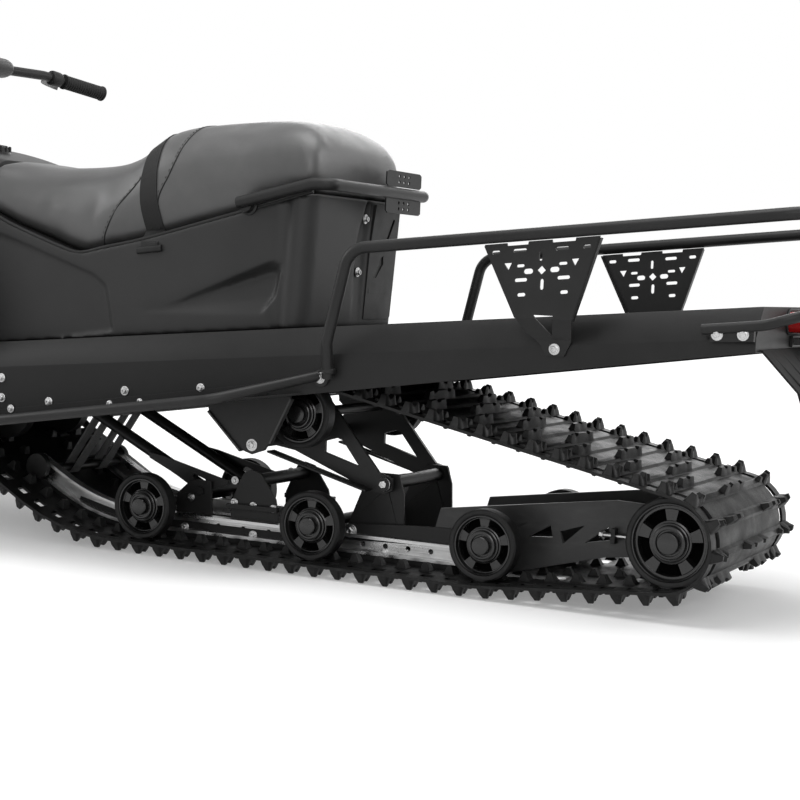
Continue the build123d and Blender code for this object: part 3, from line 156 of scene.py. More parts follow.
def weave_group():
    """Normal and mask of a woven strap."""
    group, start, end = shader_group(
        "weave", [("Scale", NUMBER, 400.0), ("Strength", NUMBER, 0.5)], [("Normal", DIRECTION), ("Mask", NUMBER)])
    place, product = add(group, "TexCoord"), add(group, "Math", "MULTIPLY")
    bump = add(group, "Bump", Distance=0.0008)
    for index, direction in enumerate(("X", "Z")):
        wave = add(group, "TexWave")
        wave.bands_direction = direction
        wire(group, (place, "Object", wave, "Vector"), (start, "Scale", wave, "Scale"), (wave, "Fac", product, index))
    wire(group, (product, "Value", bump, "Height"), (start, "Strength", bump, "Strength"),
         (bump, "Normal", end, "Normal"), (product, "Value", end, "Mask"))
    return group


def rub_group():
    """Mask of fine scuffs drawn out along the machine."""
    group, start, end = shader_group(
        "rub", [("Scale", NUMBER, 30.0), ("Stretch", NUMBER, 0.1), ("Amount", NUMBER, 0.5)], [("Mask", NUMBER)])
    place, axes, joined = add(group, "TexCoord"), add(group, "SeparateXYZ"), add(group, "CombineXYZ")
    squeeze, noise = add(group, "Math", "MULTIPLY"), add(group, "TexNoise", Detail=8)
    ramp = add(group, "MapRange", From_Min=0.52, From_Max=0.74)
    wire(group, (place, "Object", axes, "Vector"), (axes, "X", squeeze, 0), (start, "Stretch", squeeze, 1),
         (squeeze, "Value", joined, "X"), (axes, "Y", joined, "Y"), (axes, "Z", joined, "Z"),
         (joined, "Vector", noise, "Vector"), (start, "Scale", noise, "Scale"), (noise, "Fac", ramp, "Value"),
         (start, "Amount", ramp, "To Max"), (ramp, "Result", end, "Mask"))
    return group


MOTTLE, GRAIN, WEAVE, RUB = mottle_group(), grain_group(), weave_group(), rub_group()
PLASTIC_BENDING = 1.49


def new_material(name, **values):
    """Material with its values, kept under its name; gives its node tree and its main shader."""
    material = bpy.data.materials.new(name)
    material.use_nodes = True
    shader = material.node_tree.nodes["Principled BSDF"]
    for label, value in values.items():
        shader.inputs[label.replace("_", " ")].default_value = value
    FINISH[name] = material
    return material.node_tree, shader


def finish(name, dark, light, rough, metallic=0.0, patch=6.0, grain=(900.0, 0.15, 0.0), rub=None, coat=0.0,
           gloss=0.22):
    """Opaque material: grain as (scale, strength, cells), scuffs as (tone, scale, stretch, amount)."""
    tree, shader = new_material(name, Metallic=metallic, Specular_IOR_Level=gloss)
    if coat:
        shader.inputs["Coat Weight"].default_value = coat
        shader.inputs["Coat Roughness"].default_value = 0.12
    colour = add(tree, "Group", group=MOTTLE, Dark=grey(dark), Light=grey(light), Scale=patch)
    surface = add(tree, "Group", group=GRAIN, Scale=grain[0], Strength=grain[1], Cells=grain[2])
    roughness = add(tree, "MapRange", To_Min=rough[0], To_Max=rough[1])
    wire(tree, (colour, "Mask", roughness, "Value"), (roughness, "Result", shader, "Roughness"),
         (surface, "Normal", shader, "Normal"))
    if rub:
        tone, scale, stretch, amount = rub
        scuff = add(tree, "Group", group=RUB, Scale=scale, Stretch=stretch, Amount=amount)
        mix = add(tree, "Mix", colours=True, B=grey(tone))
        wire(tree, (scuff, "Mask", mix, "Factor"), (colour, "Color", mix, "A"), (mix, "Result", shader, "Base Color"))
    else:
        wire(tree, (colour, "Color", shader, "Base Color"))


def webbing(name, dark, light, scale):
    """Woven strap material."""
    tree, shader = new_material(name, Roughness=0.85)
    weave = add(tree, "Group", group=WEAVE, Scale=scale, Strength=0.6)
    mix = add(tree, "Mix", colours=True, A=grey(dark), B=grey(light))
    wire(tree, (weave, "Mask", mix, "Factor"), (mix, "Result", shader, "Base Color"),
         (weave, "Normal", shader, "Normal"))


def clear(name, colour, rough, weight):
    """Transparent plastic."""
    new_material(name, Base_Color=(*colour, 1), Roughness=rough, IOR=PLASTIC_BENDING, Transmission_Weight=weight)


finish("track_rubber", 0.004, 0.013, (0.34, 0.55), patch=22.0, grain=(700.0, 0.6, 0.0), rub=(0.04, 60.0, 1.0, 0.35),
       gloss=0.2)
finish("wheel_plastic", 0.006, 0.011, (0.18, 0.28), patch=14.0, gloss=0.5)
# Near-black finish of the rings behind the wheels' pockets: painted shade
finish("pocket_painted_shade", 0.001, 0.002, (0.85, 0.95), patch=14.0, gloss=0.02)
finish("wheel_rubber", 0.006, 0.013, (0.45, 0.6), patch=18.0, rub=(0.03, 80.0, 1.0, 0.3))
finish("black_steel", 0.011, 0.018, (0.34, 0.46), patch=8.0, grain=(1100.0, 0.22, 0.0))
# Black steel made lighter as painted light on faces turned to the lamps, with paler scuffs of wear
finish("scuffed_lit_steel", 0.026, 0.046, (0.30, 0.42), patch=7.0, grain=(1100.0, 0.22, 0.0), rub=(0.09, 50.0, 0.3, 0.25),
       gloss=0.3)
finish("bare_aluminium", 0.42, 0.66, (0.22, 0.4), metallic=1.0, patch=9.0, rub=(0.22, 90.0, 0.04, 0.7))
finish("slider_plastic", 0.008, 0.016, (0.35, 0.55), patch=20.0)
finish("black_aluminium", 0.008, 0.013, (0.36, 0.48), patch=5.0, grain=(1300.0, 0.2, 0.0))
finish("flap_rubber", 0.008, 0.016, (0.55, 0.75), patch=12.0, gloss=0.12)
finish("body_plastic", 0.020, 0.028, (0.42, 0.52), patch=4.0, grain=(1500.0, 0.3, 0.0), gloss=0.26)
finish("hood_plastic", 0.010, 0.016, (0.16, 0.24), patch=3.0, grain=(60.0, 0.02, 0.0), coat=0.4)
finish("seat_vinyl", 0.044, 0.068, (0.30, 0.42), patch=7.0, grain=(620.0, 0.5, 1.0), gloss=0.7)
finish("cast_metal", 0.20, 0.32, (0.5, 0.65), metallic=0.8, patch=12.0, grain=(500.0, 0.5, 0.0))
finish("zinc_steel", 0.38, 0.60, (0.24, 0.42), metallic=1.0, patch=40.0)
finish("ski_plastic", 0.014, 0.024, (0.35, 0.5), patch=6.0, rub=(0.05, 25.0, 0.08, 0.35))
finish("grip_rubber", 0.010, 0.018, (0.6, 0.75), patch=30.0)
webbing("strap_webbing", 0.10, 0.34, 520.0)
webbing("seat_webbing", 0.006, 0.022, 520.0)
webbing("stitching", 0.05, 0.12, 900.0)
clear("lamp_red", (0.45, 0.012, 0.012), 0.08, 0.45)
clear("lamp_clear", (0.92, 0.94, 0.95), 0.03, 0.9)
finish("reflector", 0.7, 0.85, (0.1, 0.16), metallic=1.0, patch=20.0)
clear("windshield_clear", (0.30, 0.31, 0.33), 0.04, 0.85)

ROOT_BODY = frame["joints"][0]["parent"]

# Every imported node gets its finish
for row in frame["record"]["subparts"]:
    node = frame["nodes"][row["node"]]
    node.data.materials.clear()
    node.data.materials.append(FINISH[row["material_slot"]])


# Shapes

def turns(steps):
    """Angles of a full turn in equal steps."""
    return [2 * math.pi * s / steps for s in range(steps)]


class Form:
    """Collects the surfaces of one piece, in metres."""

    def __init__(self):
        self.points = []
        self.faces = []

    def patch(self, rows, close_across=False, close_along=False):
        """Surface through rows of points."""
        base = len(self.points)
        across = len(rows[0])
        for row in rows:
            self.points.extend(row)
        for i in range(len(rows) if close_along else len(rows) - 1):
            j = (i + 1) % len(rows)
            for k in range(across if close_across else across - 1):
                m = (k + 1) % across
                self.faces.append((base + i * across + k, base + i * across + m,
                                   base + j * across + m, base + j * across + k))

    def cap(self, ring):
        base = len(self.points)
        self.points.extend(ring)
        self.faces.append(tuple(range(base, base + len(ring))))

    def closed(self, rows):
        """Solid through rows of closed rings, with both ends capped."""
        self.patch(rows, close_across=True)
        self.cap(rows[0])
        self.cap(rows[-1])

    def lathe(self, centre, axis, profile, steps=40, ring=False):
        """Turned shape: profile holds (radius, distance along the axis) in millimetres; a ring stays open inside."""
        axis = axis.normalized()
        side = axis.orthogonal().normalized()
        other = axis.cross(side)
        rows = []
        for radius, along in profile:
            rows.append([centre + axis * along * MM + (side * math.cos(turn) + other * math.sin(turn)) * radius * MM
                         for turn in turns(steps)])
        self.patch(rows, close_across=True, close_along=ring)
        if profile[0][0] > 0 and not ring:
            self.cap(list(reversed(rows[0])))
        if profile[-1][0] > 0 and not ring:
            self.cap(rows[-1])

    def prism(self, outline, y_low, y_high):
        """Flat plate from its side outline, in millimetres."""
        low, high = ([at(x, y, z) for x, z in outline] for y in (y_low, y_high))
        self.patch([low, high], close_across=True)
        self.cap(list(reversed(low)))
        self.cap(high)

    def prism_pair(self, outline, near, far):
        """The same plate on the left and on the right."""
        for side in BOTH:
            self.prism(outline, *sorted((side * near, side * far)))

    def block(self, x_low, x_high, y_low, y_high, z_low, z_high):
        self.prism([(x_low, z_low), (x_high, z_low), (x_high, z_high), (x_low, z_high)], y_low, y_high)

    def sweep(self, path, section, lift=UP, closed=False):
        """Section of (sideways, up) offsets in millimetres, carried along a path."""
        count = len(path)
        rows = []
        side = None
        for index, place in enumerate(path):
            before = path[index - 1] if index or closed else place
            after = path[(index + 1) % count] if index < count - 1 or closed else place
            tangent = (after - before).normalized()
            side = tangent.cross(lift) if side is None else side
            side = (side - tangent * side.dot(tangent)).normalized()
            rise = side.cross(tangent)
            rows.append([place + (side * across + rise * up) * MM for across, up in section])
        self.patch(rows, close_across=True, close_along=closed)
        if not closed:
            self.cap(list(reversed(rows[0])))
            self.cap(rows[-1])

    def build(self, name, kind, body=ROOT_BODY, bevel=0.0, angle=38, replaces=()):
        """Turn the collected surfaces into one piece that rides on its body."""
        mesh = bpy.data.meshes.new(name)
        mesh.from_pydata([tuple(p) for p in self.points], [], self.faces)
        return dress(mesh, name, kind, body, bevel, angle, replaces)


def add_object(name, data):
    """Object in the scene."""
    item = bpy.data.objects.new(name, data)
    bpy.context.scene.collection.objects.link(item)
    return item


def placing(across, rise, out, place):
    """Placement that turns a sheet's own three directions and moves it."""
    return Matrix.Translation(place) @ Matrix((across, rise, out)).transposed().to_4x4()


def dress(mesh, name, kind, body=ROOT_BODY, bevel=0.0, angle=38, replaces=()):
    """Clean a mesh, give it its finish and put it on its body."""
    work = bmesh.new()
    work.from_mesh(mesh)
    bmesh.ops.remove_doubles(work, verts=work.verts, dist=2e-6)
    bmesh.ops.dissolve_degenerate(work, dist=1e-6, edges=work.edges)
    bmesh.ops.recalc_face_normals(work, faces=work.faces)
    limit = math.radians(angle)
    for edge in work.edges:
        edge.smooth = len(edge.link_faces) == 2 and edge.calc_face_angle(0) < limit
    for face in work.faces:
        face.smooth = True
    work.to_mesh(mesh)
    work.free()
    piece = add_object(name, mesh)
    mesh.materials.clear()
    mesh.materials.append(FINISH[kind])
    if bevel:
        round_edges = piece.modifiers.new("edges", "BEVEL")
        round_edges.width = bevel * MM
        round_edges.segments = 2
        round_edges.limit_method = "ANGLE"
        round_edges.angle_limit = limit
        round_edges.use_clamp_overlap = True
        round_edges.harden_normals = True
    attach(piece, body)
    if replaces:
        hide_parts(*replaces)
    return piece


def disc(radius, steps=12):
    return [(radius * math.cos(turn), radius * math.sin(turn)) for turn in turns(steps)]


def through(points, steps=6):
    """Smooth curve through points."""
    curve = []
    for index in range(len(points) - 1):
        first, last = points[max(index - 1, 0)], points[min(index + 2, len(points) - 1)]
        a, b = points[index], points[index + 1]
        for step in range(steps):
            t = step / steps
            curve.append(a * ((1 + 2 * t) * (1 - t) ** 2) + (b - first) * 0.5 * (t * (1 - t) ** 2)
                         + b * (t * t * (3 - 2 * t)) + (last - a) * 0.5 * (t * t * (t - 1)))
    return curve + [points[-1]]


def rounded(points, radius, steps=6):
    """Path of straight runs with rounded corners, the radius in millimetres."""
    path = [points[0]]
    for a, b, c in zip(points, points[1:], points[2:]):
        back, on = (a - b).normalized(), (c - b).normalized()
        reach = min(radius * MM / math.tan(back.angle(on) / 2), (a - b).length * 0.49, (c - b).length * 0.49)
        start, end = b + back * reach, b + on * reach
        for step in range(steps + 1):
            t = step / steps
            path.append(start * (1 - t) ** 2 + b * 2 * t * (1 - t) + end * t * t)
    return path + [points[-1]]


def mesh_piece(form):
    """Loose mesh object of a form, for cutting and remeshing."""
    mesh = bpy.data.meshes.new("work")
    mesh.from_pydata([tuple(p) for p in form.points], [], form.faces)
    work = bmesh.new()
    work.from_mesh(mesh)
    bmesh.ops.remove_doubles(work, verts=work.verts, dist=2e-6)
    bmesh.ops.recalc_face_normals(work, faces=work.faces)
    work.to_mesh(mesh)
    work.free()
    return add_object("work", mesh)


def shaped_mesh(piece):
    """New mesh with the shape that a piece shows."""
    return bpy.data.meshes.new_from_object(piece.evaluated_get(bpy.context.evaluated_depsgraph_get()))


def apply_modifiers(piece):
    """Keep the shape that a piece's modifiers give."""
    mesh = shaped_mesh(piece)
    piece.modifiers.clear()
    piece.data = mesh


def carve(piece, tool, operation="DIFFERENCE"):
    """Cut or join a loose mesh object with another, which is used up."""
    cut = piece.modifiers.new("cut", "BOOLEAN")
    cut.operation = operation
    cut.solver = "EXACT"
    cut.object = tool
    apply_modifiers(piece)
    bpy.data.objects.remove(tool)


def take_mesh(piece):
    """Mesh of a loose object, which is used up."""
    mesh = piece.data
    bpy.data.objects.remove(piece)
    return mesh


def remesh(piece, voxel):
    fine = piece.modifiers.new("remesh", "REMESH")
    fine.mode = "VOXEL"
    fine.voxel_size = voxel * MM


def relax(piece, rounds):
    smooth = piece.modifiers.new("relax", "SMOOTH")
    smooth.factor = 0.5
    smooth.iterations = rounds


def moulded(piece, voxel, rounds):
    """Remesh a loose object finely and soften its edges."""
    remesh(piece, voxel)
    relax(piece, rounds)
    apply_modifiers(piece)


def punched(outline, holes, thickness):
    """Flat sheet with holes as a mesh, in millimetres of its own two directions."""
    curve = bpy.data.curves.new("sheet", "CURVE")
    curve.dimensions = "2D"
    curve.fill_mode = "BOTH"
    curve.extrude = thickness / 2 * MM
    for ring in (outline, *holes):
        spline = curve.splines.new("POLY")
        spline.points.add(len(ring) - 1)
        for point, (u, v) in zip(spline.points, ring):
            point.co = (u * MM, v * MM, 0, 1)
        spline.use_cyclic_u = True
    holder = add_object("sheet", curve)
    mesh = shaped_mesh(holder)
    bpy.data.objects.remove(holder)
    return mesh


def slot_ring(u, v, length, width, turn=0.0, steps=5):
    """Outline of a slot with round ends."""
    ring = []
    half = max(length - width, 0) / 2
    for end in (1, -1):
        for step in range(steps + 1):
            angle = math.pi * (step / steps - 0.5) + (0 if end == 1 else math.pi)
            x, y = end * half + width / 2 * math.cos(angle), width / 2 * math.sin(angle)
            ring.append((u + x * math.cos(turn) - y * math.sin(turn), v + x * math.sin(turn) + y * math.cos(turn)))
    return ring


def skin(tree, origin, heading):
    """First place on a surface that a ray from a point meets."""
    hit = tree.ray_cast(origin, heading.normalized())[0]
    return hit if hit is not None else origin


def tree_of(mesh):
    return BVHTree.FromPolygons([tuple(v.co) for v in mesh.vertices], [tuple(f.vertices) for f in mesh.polygons])


def swell(piece, pressure, reach, voxel):
    """Inflate a cover a little, with no point moved further than the reach."""
    remesh(piece, voxel)
    apply_modifiers(piece)
    rest = [v.co.copy() for v in piece.data.vertices]
    cloth = piece.modifiers.new("cloth", "CLOTH")
    cloth.settings.use_pressure = True
    cloth.settings.uniform_pressure_force = pressure
    cloth.settings.effector_weights.gravity = 0
    cloth.settings.quality = 4
    cloth.point_cache.frame_end = 14
    for number in range(1, 13):
        bpy.context.scene.frame_set(number)
    moved = piece.evaluated_get(bpy.context.evaluated_depsgraph_get()).data
    places = [v.co.copy() for v in moved.vertices]
    piece.modifiers.remove(cloth)
    for vertex, start, end in zip(piece.data.vertices, rest, places):
        step = end - start
        if step.length > reach * MM:
            step *= reach * MM / step.length
        vertex.co = start + step
    bpy.context.scene.frame_set(1)


def softened(node, kind, bevel, body=ROOT_BODY):
    """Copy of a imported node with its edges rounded, which stands for it."""
    dress(frame["nodes"][node].data.copy(), node + "_finished", kind, body, bevel, replaces=(node,))


# Track: belt, lugs, drive lugs and guide clips

PITCH_COUNT = 72
BELT = 5.0
BELT_GAP = 1.6
IDLER_RADIUS, REAR_RADIUS, BOW_RADIUS, SPROCKET_RADIUS = 66.5, 80, 490, 72
REAR_AT, CARRIER_AT, SPROCKET_AT, BOW_AT = (0, 137), (749, 306), (1545, 258), (1150, 26 + BOW_RADIUS)
IDLERS_AT = [(1106, 92.8), (716, 92.8), (353, 94.1)]


class Loop:
    """Path of the belt's middle round its circles, in millimetres."""

    def __init__(self, circles):
        grown = [(x, z, r + BELT / 2) for x, z, r in circles]
        headings = []
        for (x1, z1, r1), (x2, z2, r2) in zip(grown, grown[1:] + grown[:1]):
            span = math.hypot(x2 - x1, z2 - z1)
            headings.append(math.atan2(z2 - z1, x2 - x1) + math.asin((r1 - r2) / span))
        self.runs = []
        for index, (x, z, r) in enumerate(grown):
            start, heading = headings[index - 1], headings[index]
            turn = (heading - start) % (2 * math.pi)
            self.runs.append((r * turn, (x, z, r, start)))
            nx, nz, nr = grown[(index + 1) % len(grown)]
            begin = (x + r * math.sin(heading), z - r * math.cos(heading))
            end = (nx + nr * math.sin(heading), nz - nr * math.cos(heading))
            self.runs.append((math.dist(begin, end), (*begin, heading)))
        self.length = sum(length for length, _ in self.runs)
        self.pitch = self.length / PITCH_COUNT

    def frame(self, distance):
        distance %= self.length
        for length, run in self.runs:
            if distance <= length:
                break
            distance -= length
        if len(run) == 4:
            x, z, r, start = run
            heading = start + distance / r
            return x + r * math.sin(heading), z - r * math.cos(heading), heading
        x, z, heading = run
        return x + distance * math.cos(heading), z + distance * math.sin(heading), heading

    def point(self, distance, y, out):
        """Place on the belt: along the loop, to the left, and out from its middle."""
        x, z, heading = self.frame(distance)
        return at(x + out * math.sin(heading), y, z - out * math.cos(heading))

    def cross_cut(self, distance):
        """Place of the belt's middle, with steps of a millimetre along it and out of it."""
        x, z, heading = self.frame(distance)
        return (x, z, Vector((math.cos(heading), 0, math.sin(heading))) * MM,
                Vector((math.sin(heading), 0, -math.cos(heading))) * MM)


loop = Loop([(*REAR_AT, REAR_RADIUS + BELT_GAP), (*IDLERS_AT[-1], IDLER_RADIUS + BELT_GAP), (*BOW_AT, BOW_RADIUS),
             (*SPROCKET_AT, SPROCKET_RADIUS), (*CARRIER_AT, IDLER_RADIUS + BELT_GAP)])
HALF_WIDTH = 250
WINDOW = (200, 222)
WINDOW_HALF = 13
STEPS_A_PITCH = 4


def belt_band(form, y_low, y_high, start=None, stop=None):
    """Band of the belt between two widths, closed round the loop or over one stretch."""
    if start is None:
        count = PITCH_COUNT * STEPS_A_PITCH
        places = [loop.length * i / count for i in range(count)]
    else:
        places = [start + (stop - start) * i / 2 for i in range(3)]
    rows = [[loop.point(s, y_low, -BELT / 2), loop.point(s, y_high, -BELT / 2),
             loop.point(s, y_high, BELT / 2), loop.point(s, y_low, BELT / 2)] for s in places]
    form.patch(rows, close_across=True, close_along=start is None)


def lug(form, distance, stations, sign, inward=False):
    """Lug across the belt through stations of (y, height, foot half, top half, lean)."""
    x, z, along, out = loop.cross_cut(distance)
    if inward:
        out = -out
    rows = []
    for y, height, foot, top, lean in stations:
        base = at(x, sign * y, z) + out * (BELT / 2 - 0.4)
        waist = foot * 0.45 + top * 0.55
        rows.append([base - along * foot, base + out * height * 0.55 - along * (waist - lean * 0.3),
                     base + out * height - along * (top - lean), base + out * height + along * (top + lean),
                     base + out * height * 0.55 + along * (waist + lean * 0.3), base + along * foot])
    form.patch(rows)
    form.cap(list(reversed(rows[0])))
    form.cap(rows[-1])


def worn(stations, spread):
    """The same lug with slightly uneven height, as moulded and worn rubber has."""
    return [(y, height * (1 - spread * rng.random()) if height > 8 else height, foot, top, lean)
            for y, height, foot, top, lean in stations]


EDGE_LUG = [(203, 4, 10, 7, 0), (208, 18, 11, 4, 1.5), (214, 20.5, 12, 4.5, 2), (220, 13, 11, 6, 0),
            (227, 12, 11, 6, 0), (234, 20, 13, 5, -2), (241, 20.5, 13, 4.5, -3), (247, 8, 11, 7, 0),
            (249.5, 3, 9, 7, 0)]
KNOB = [(176, 4, 8, 5, 0), (180, 14, 8, 3.5, 0), (187, 15, 8, 3.5, 1), (194, 6, 8, 5, 0)]
CENTRE_BAR = [(-60, 5, 9, 6, 0), (-56, 19, 9, 3.6, 0), (-40, 20, 9, 3.6, 0), (-36, 15, 9, 4, 0), (-26, 15, 9, 4, 0),
              (-22, 20, 9, 3.6, 0), (22, 20, 9, 3.6, 0), (26, 15, 9, 4, 0), (36, 15, 9, 4, 0), (40, 20, 9, 3.6, 0),
              (56, 19, 9, 3.6, 0), (60, 5, 9, 6, 0)]
SIDE_BAR = [(84, 5, 9, 6, 0), (88, 19, 9, 3.6, 0), (108, 20, 9, 3.6, 0), (112, 15, 9, 4, 0), (124, 15, 9, 4, 0),
            (128, 20, 9, 3.6, 0), (150, 19, 9, 3.6, 0), (154, 5, 9, 6, 0)]
RIDGE = [(-204, 2, 10, 5, 0), (-198, 4.5, 10, 5.5, 0), (198, 4.5, 10, 5.5, 0), (204, 2, 10, 5, 0)]
DRIVE_LUG = [(151, 3, 13, 9, 0), (154, 16, 12, 3.5, 0), (170, 18, 12, 3, 0), (173, 3, 13, 9, 0)]
INNER_LUG = [(66, 3, 12, 8, 0), (69, 15, 11, 3.5, 0), (81, 15, 11, 3.5, 0), (84, 3, 12, 8, 0)]

belt = Form()
lugs = Form()
clips = Form()
belt_band(belt, -WINDOW[0], WINDOW[0])
for sign in BOTH:
    belt_band(belt, *sorted((sign * WINDOW[1], sign * HALF_WIDTH)))
for row in range(PITCH_COUNT):
    middle = (row + 0.5) * loop.pitch
    for sign in BOTH:
        belt_band(belt, *sorted((sign * WINDOW[0], sign * WINDOW[1])), start=middle - loop.pitch / 2 + WINDOW_HALF,
                  stop=middle + loop.pitch / 2 - WINDOW_HALF)
        lug(lugs, middle, worn(EDGE_LUG, 0.08), sign)
        lug(lugs, middle, worn(KNOB, 0.15), sign)
        lug(lugs, middle, DRIVE_LUG, sign, inward=True)
        lug(lugs, middle, INNER_LUG, sign, inward=True)
        if row % 2:
            lug(lugs, middle, worn(SIDE_BAR, 0.1), sign)
    if not row % 2:
        lug(lugs, middle, worn(CENTRE_BAR, 0.1), 1)
    lug(lugs, middle, RIDGE, 1)
    if row % 3:
        continue
    for sign in BOTH:
        x, z, along, out = loop.cross_cut(middle)
        rows = []
        for y, lift in ((98, 0.2), (103, 2), (127, 2), (132, 0.2)):
            base = at(x, sign * y, z) - out * (BELT / 2)
            rows.append([base - along * 12, base - along * 8 - out * lift, base + along * 8 - out * lift,
                         base + along * 12])
        clips.patch(rows)
belt.build("track_belt", "track_rubber", replaces=("track",))
lugs.build("track_lugs", "track_rubber", bevel=1.1, angle=25)
clips.build("track_clips", "zinc_steel")


# Wheels

def wheel(tyre, plate, pocket_shade_ring, centre, side, radius):
    """One rubber-tyred wheel with pockets between its spokes, darkened by a ring of painted shade behind them; its
    outer face looks to the side.
    """
    axis = LEFT * side
    half = WHEEL_WIDTH / 2
    rim = radius - 10
    tyre.lathe(centre, axis, [(rim - 1, -half + 2), (rim + 1, -half), (radius - 3, -half), (radius, -half + 3),
                              (radius, half - 3), (radius - 3, half), (rim + 2, half), (rim, half - 1.5),
                              (rim - 1, half - 4)], steps=64, ring=True)
    large = radius > IDLER_RADIUS
    hub = 30 if large else 27
    pocket_low, pocket_high = (hub + 9, rim - 11) if large else (hub + 8, rim - 8)
    # Face of the wheel as (radius, distance out, step of a pocket)
    profile = [(rim, half - 4, 0), (rim - 1.5, half - 2, 0), (rim - 4, half - 1.5, 0), (rim - 5.5, half - 5, 0),
               (rim - 6, half - 9, 0), (pocket_high + 1, half - 9, 0), (pocket_high, half - 9.5, 1),
               (pocket_high - 0.4, half - 10, 2), (pocket_low + 0.4, half - 10, 2), (pocket_low, half - 9.5, 1),
               (pocket_low - 1, half - 9, 0), (hub + 5, half - 8, 0), (hub + 4, half - 4, 0), (hub + 2, half - 3, 0),
               (hub, half - 3.5, 0), (hub - 1, half + 1, 0), (hub - 3, half + 2, 0), (hub - 6, half + 1.5, 0),
               (hub - 7, half - 1.5, 0), (hub - 9.5, half - 1.5, 0), (hub - 10, half + 7, 0),
               (hub - 11.5, half + 8.6, 0), (hub - 15, half + 9.6, 0), (0.01, half + 10, 0)]
    across = axis.cross(UP)
    rows = []
    for r, out, depth in profile:
        row = []
        for turn in turns(90):
            phase = (turn * WHEEL_POCKETS / (2 * math.pi)) % 1
            open_here = 0.22 < phase < 0.78
            drop = 0
            if depth and open_here:
                drop = (0, 3, 16)[depth]
            elif depth == 2 and large:
                drop = -2.5
            row.append(centre + axis * (out - drop) * MM
                       + (UP * math.cos(turn) + across * math.sin(turn)) * r * MM)
        rows.append(row)
    plate.patch(rows, close_across=True)
    # Near-black ring behind the pockets: painted shade inside them
    pocket_shade_ring.lathe(centre, axis, [(pocket_low + 0.5, -10.4), (pocket_high - 0.5, -10.4), (pocket_high - 0.5, -9.4),
                                (pocket_low + 0.5, -9.4)], steps=60, ring=True)
    plate.lathe(centre, -axis, [(rim, half - 4), (rim - 3, half - 3), (rim - 8, half - 2.5), (hub + 4, half - 2.5),
                               (hub, half - 1), (hub - 6, half), (11, half), (11, half - 3)], steps=48, ring=True)


WHEEL_SETS = [("idler_axles", IDLERS_AT, IDLER_RADIUS), ("rear_axle", [REAR_AT], REAR_RADIUS),
              ("carrier_axle", [CARRIER_AT], IDLER_RADIUS)]
WHEEL_MIDDLE, WHEEL_WIDTH, WHEEL_POCKETS = 198, 30, 5
for node, places, radius in WHEEL_SETS:
    tyres, discs, pocket_shade_rings, shafts = Form(), Form(), Form(), Form()
    for x, z in places:
        for side in BOTH:
            wheel(tyres, discs, pocket_shade_rings, at(x, side * WHEEL_MIDDLE, z), side, radius)
        shafts.lathe(at(x, -184, z), LEFT, [(10, 0), (10, 368)], steps=28)
        shafts.lathe(at(x, -180, z), LEFT, [(14, 0), (14, 56)], steps=28)
        shafts.lathe(at(x, 124, z), LEFT, [(14, 0), (14, 56)], steps=28)
    discs.build(node + "_discs", "wheel_plastic", replaces=(node,), angle=30)
    tyres.build(node + "_tyres", "wheel_rubber")
    # Rings of painted shade behind the wheels' pockets
    pocket_shade_rings.build(node + "_pocket_shade", "pocket_painted_shade")
    shafts.build(node + "_shafts", "black_steel")


# Bolts

def bolt(form, centre, axis, head, height, washer=0):
    """Flanged hexagon bolt head with a domed top."""
    axis = axis.normalized()
    if washer:
        form.lathe(centre, axis, [(washer, 0), (washer, 1.2), (washer - 0.6, 1.7), (0.01, 1.7)], steps=24)
        centre = centre + axis * 1.5 * MM
    form.lathe(centre, axis, [(head * 1.25, 0), (head * 1.22, height * 0.22), (head * 1.02, height * 0.3)], steps=24)
    form.lathe(centre, axis, [(head, 0), (head, height * 0.86), (head * 0.82, height), (head * 0.5, height),
                              (head * 0.45, height * 0.7), (0.01, height * 0.7)], steps=6)


# Distances out to a side: tunnel, its doubler, slide rail, and the brackets between the rails
TUNNEL_SIDE, DOUBLER_SIDE, RAIL_SIDE, BRACKET_SIDE = 268.2, 270.4, 119.2, 111.5
TUNNEL_BOLTS = [(1424, 334), (1422, 293), (1301, 293), (1149, 300), (1114, 328), (1076, 309), (936, 345), (1500, 318),
                (1580, 300)]
BRACKET_BOLTS = [(948, 106), (903, 103), (856, 102), (948, 151), (1053, 107), (1103, 84)]
# Bolts of each side, as (x, z, y of the seat, head radius, head height)
SIDE_BOLTS = [(x, z, TUNNEL_SIDE, 5.5, 5) for x, z in TUNNEL_BOLTS]
SIDE_BOLTS += [(1396, 272, DOUBLER_SIDE, 5, 4), (668, 382, 275, 6, 6)]
SIDE_BOLTS += [(x, z, BRACKET_SIDE, 5, 5) for x, z in BRACKET_BOLTS]
SIDE_BOLTS += [(-84, 503, 279.3, 6, 6), (-128, 505, 279.3, 6, 6), (206, 462, 272.5, 6, 6), (1059, 46, 121.2, 5.5, 5),
               (895, 46, 121.2, 5.5, 5), (673, 78, 122, 8, 7), (600, 42, 119, 6, 6), (598, 177, 134.5, 8, 6),
               (818, 244, 264, 7, 6)]
bolts = Form()
# The first two hold the seat's rear cover
for y, x, z in ((-41, 757.5, 690), (-26, 763, 582)):
    bolt(bolts, at(x - 2, y, z), Vector((-1, 0, -0.07)), 6, 6, washer=10)
for x, z, y, head, height in SIDE_BOLTS:
    for side in BOTH:
        bolt(bolts, at(x, side * y, z), LEFT * side, head, height, washer=head * 1.7)
bolts.build("bolts", "zinc_steel", angle=30)

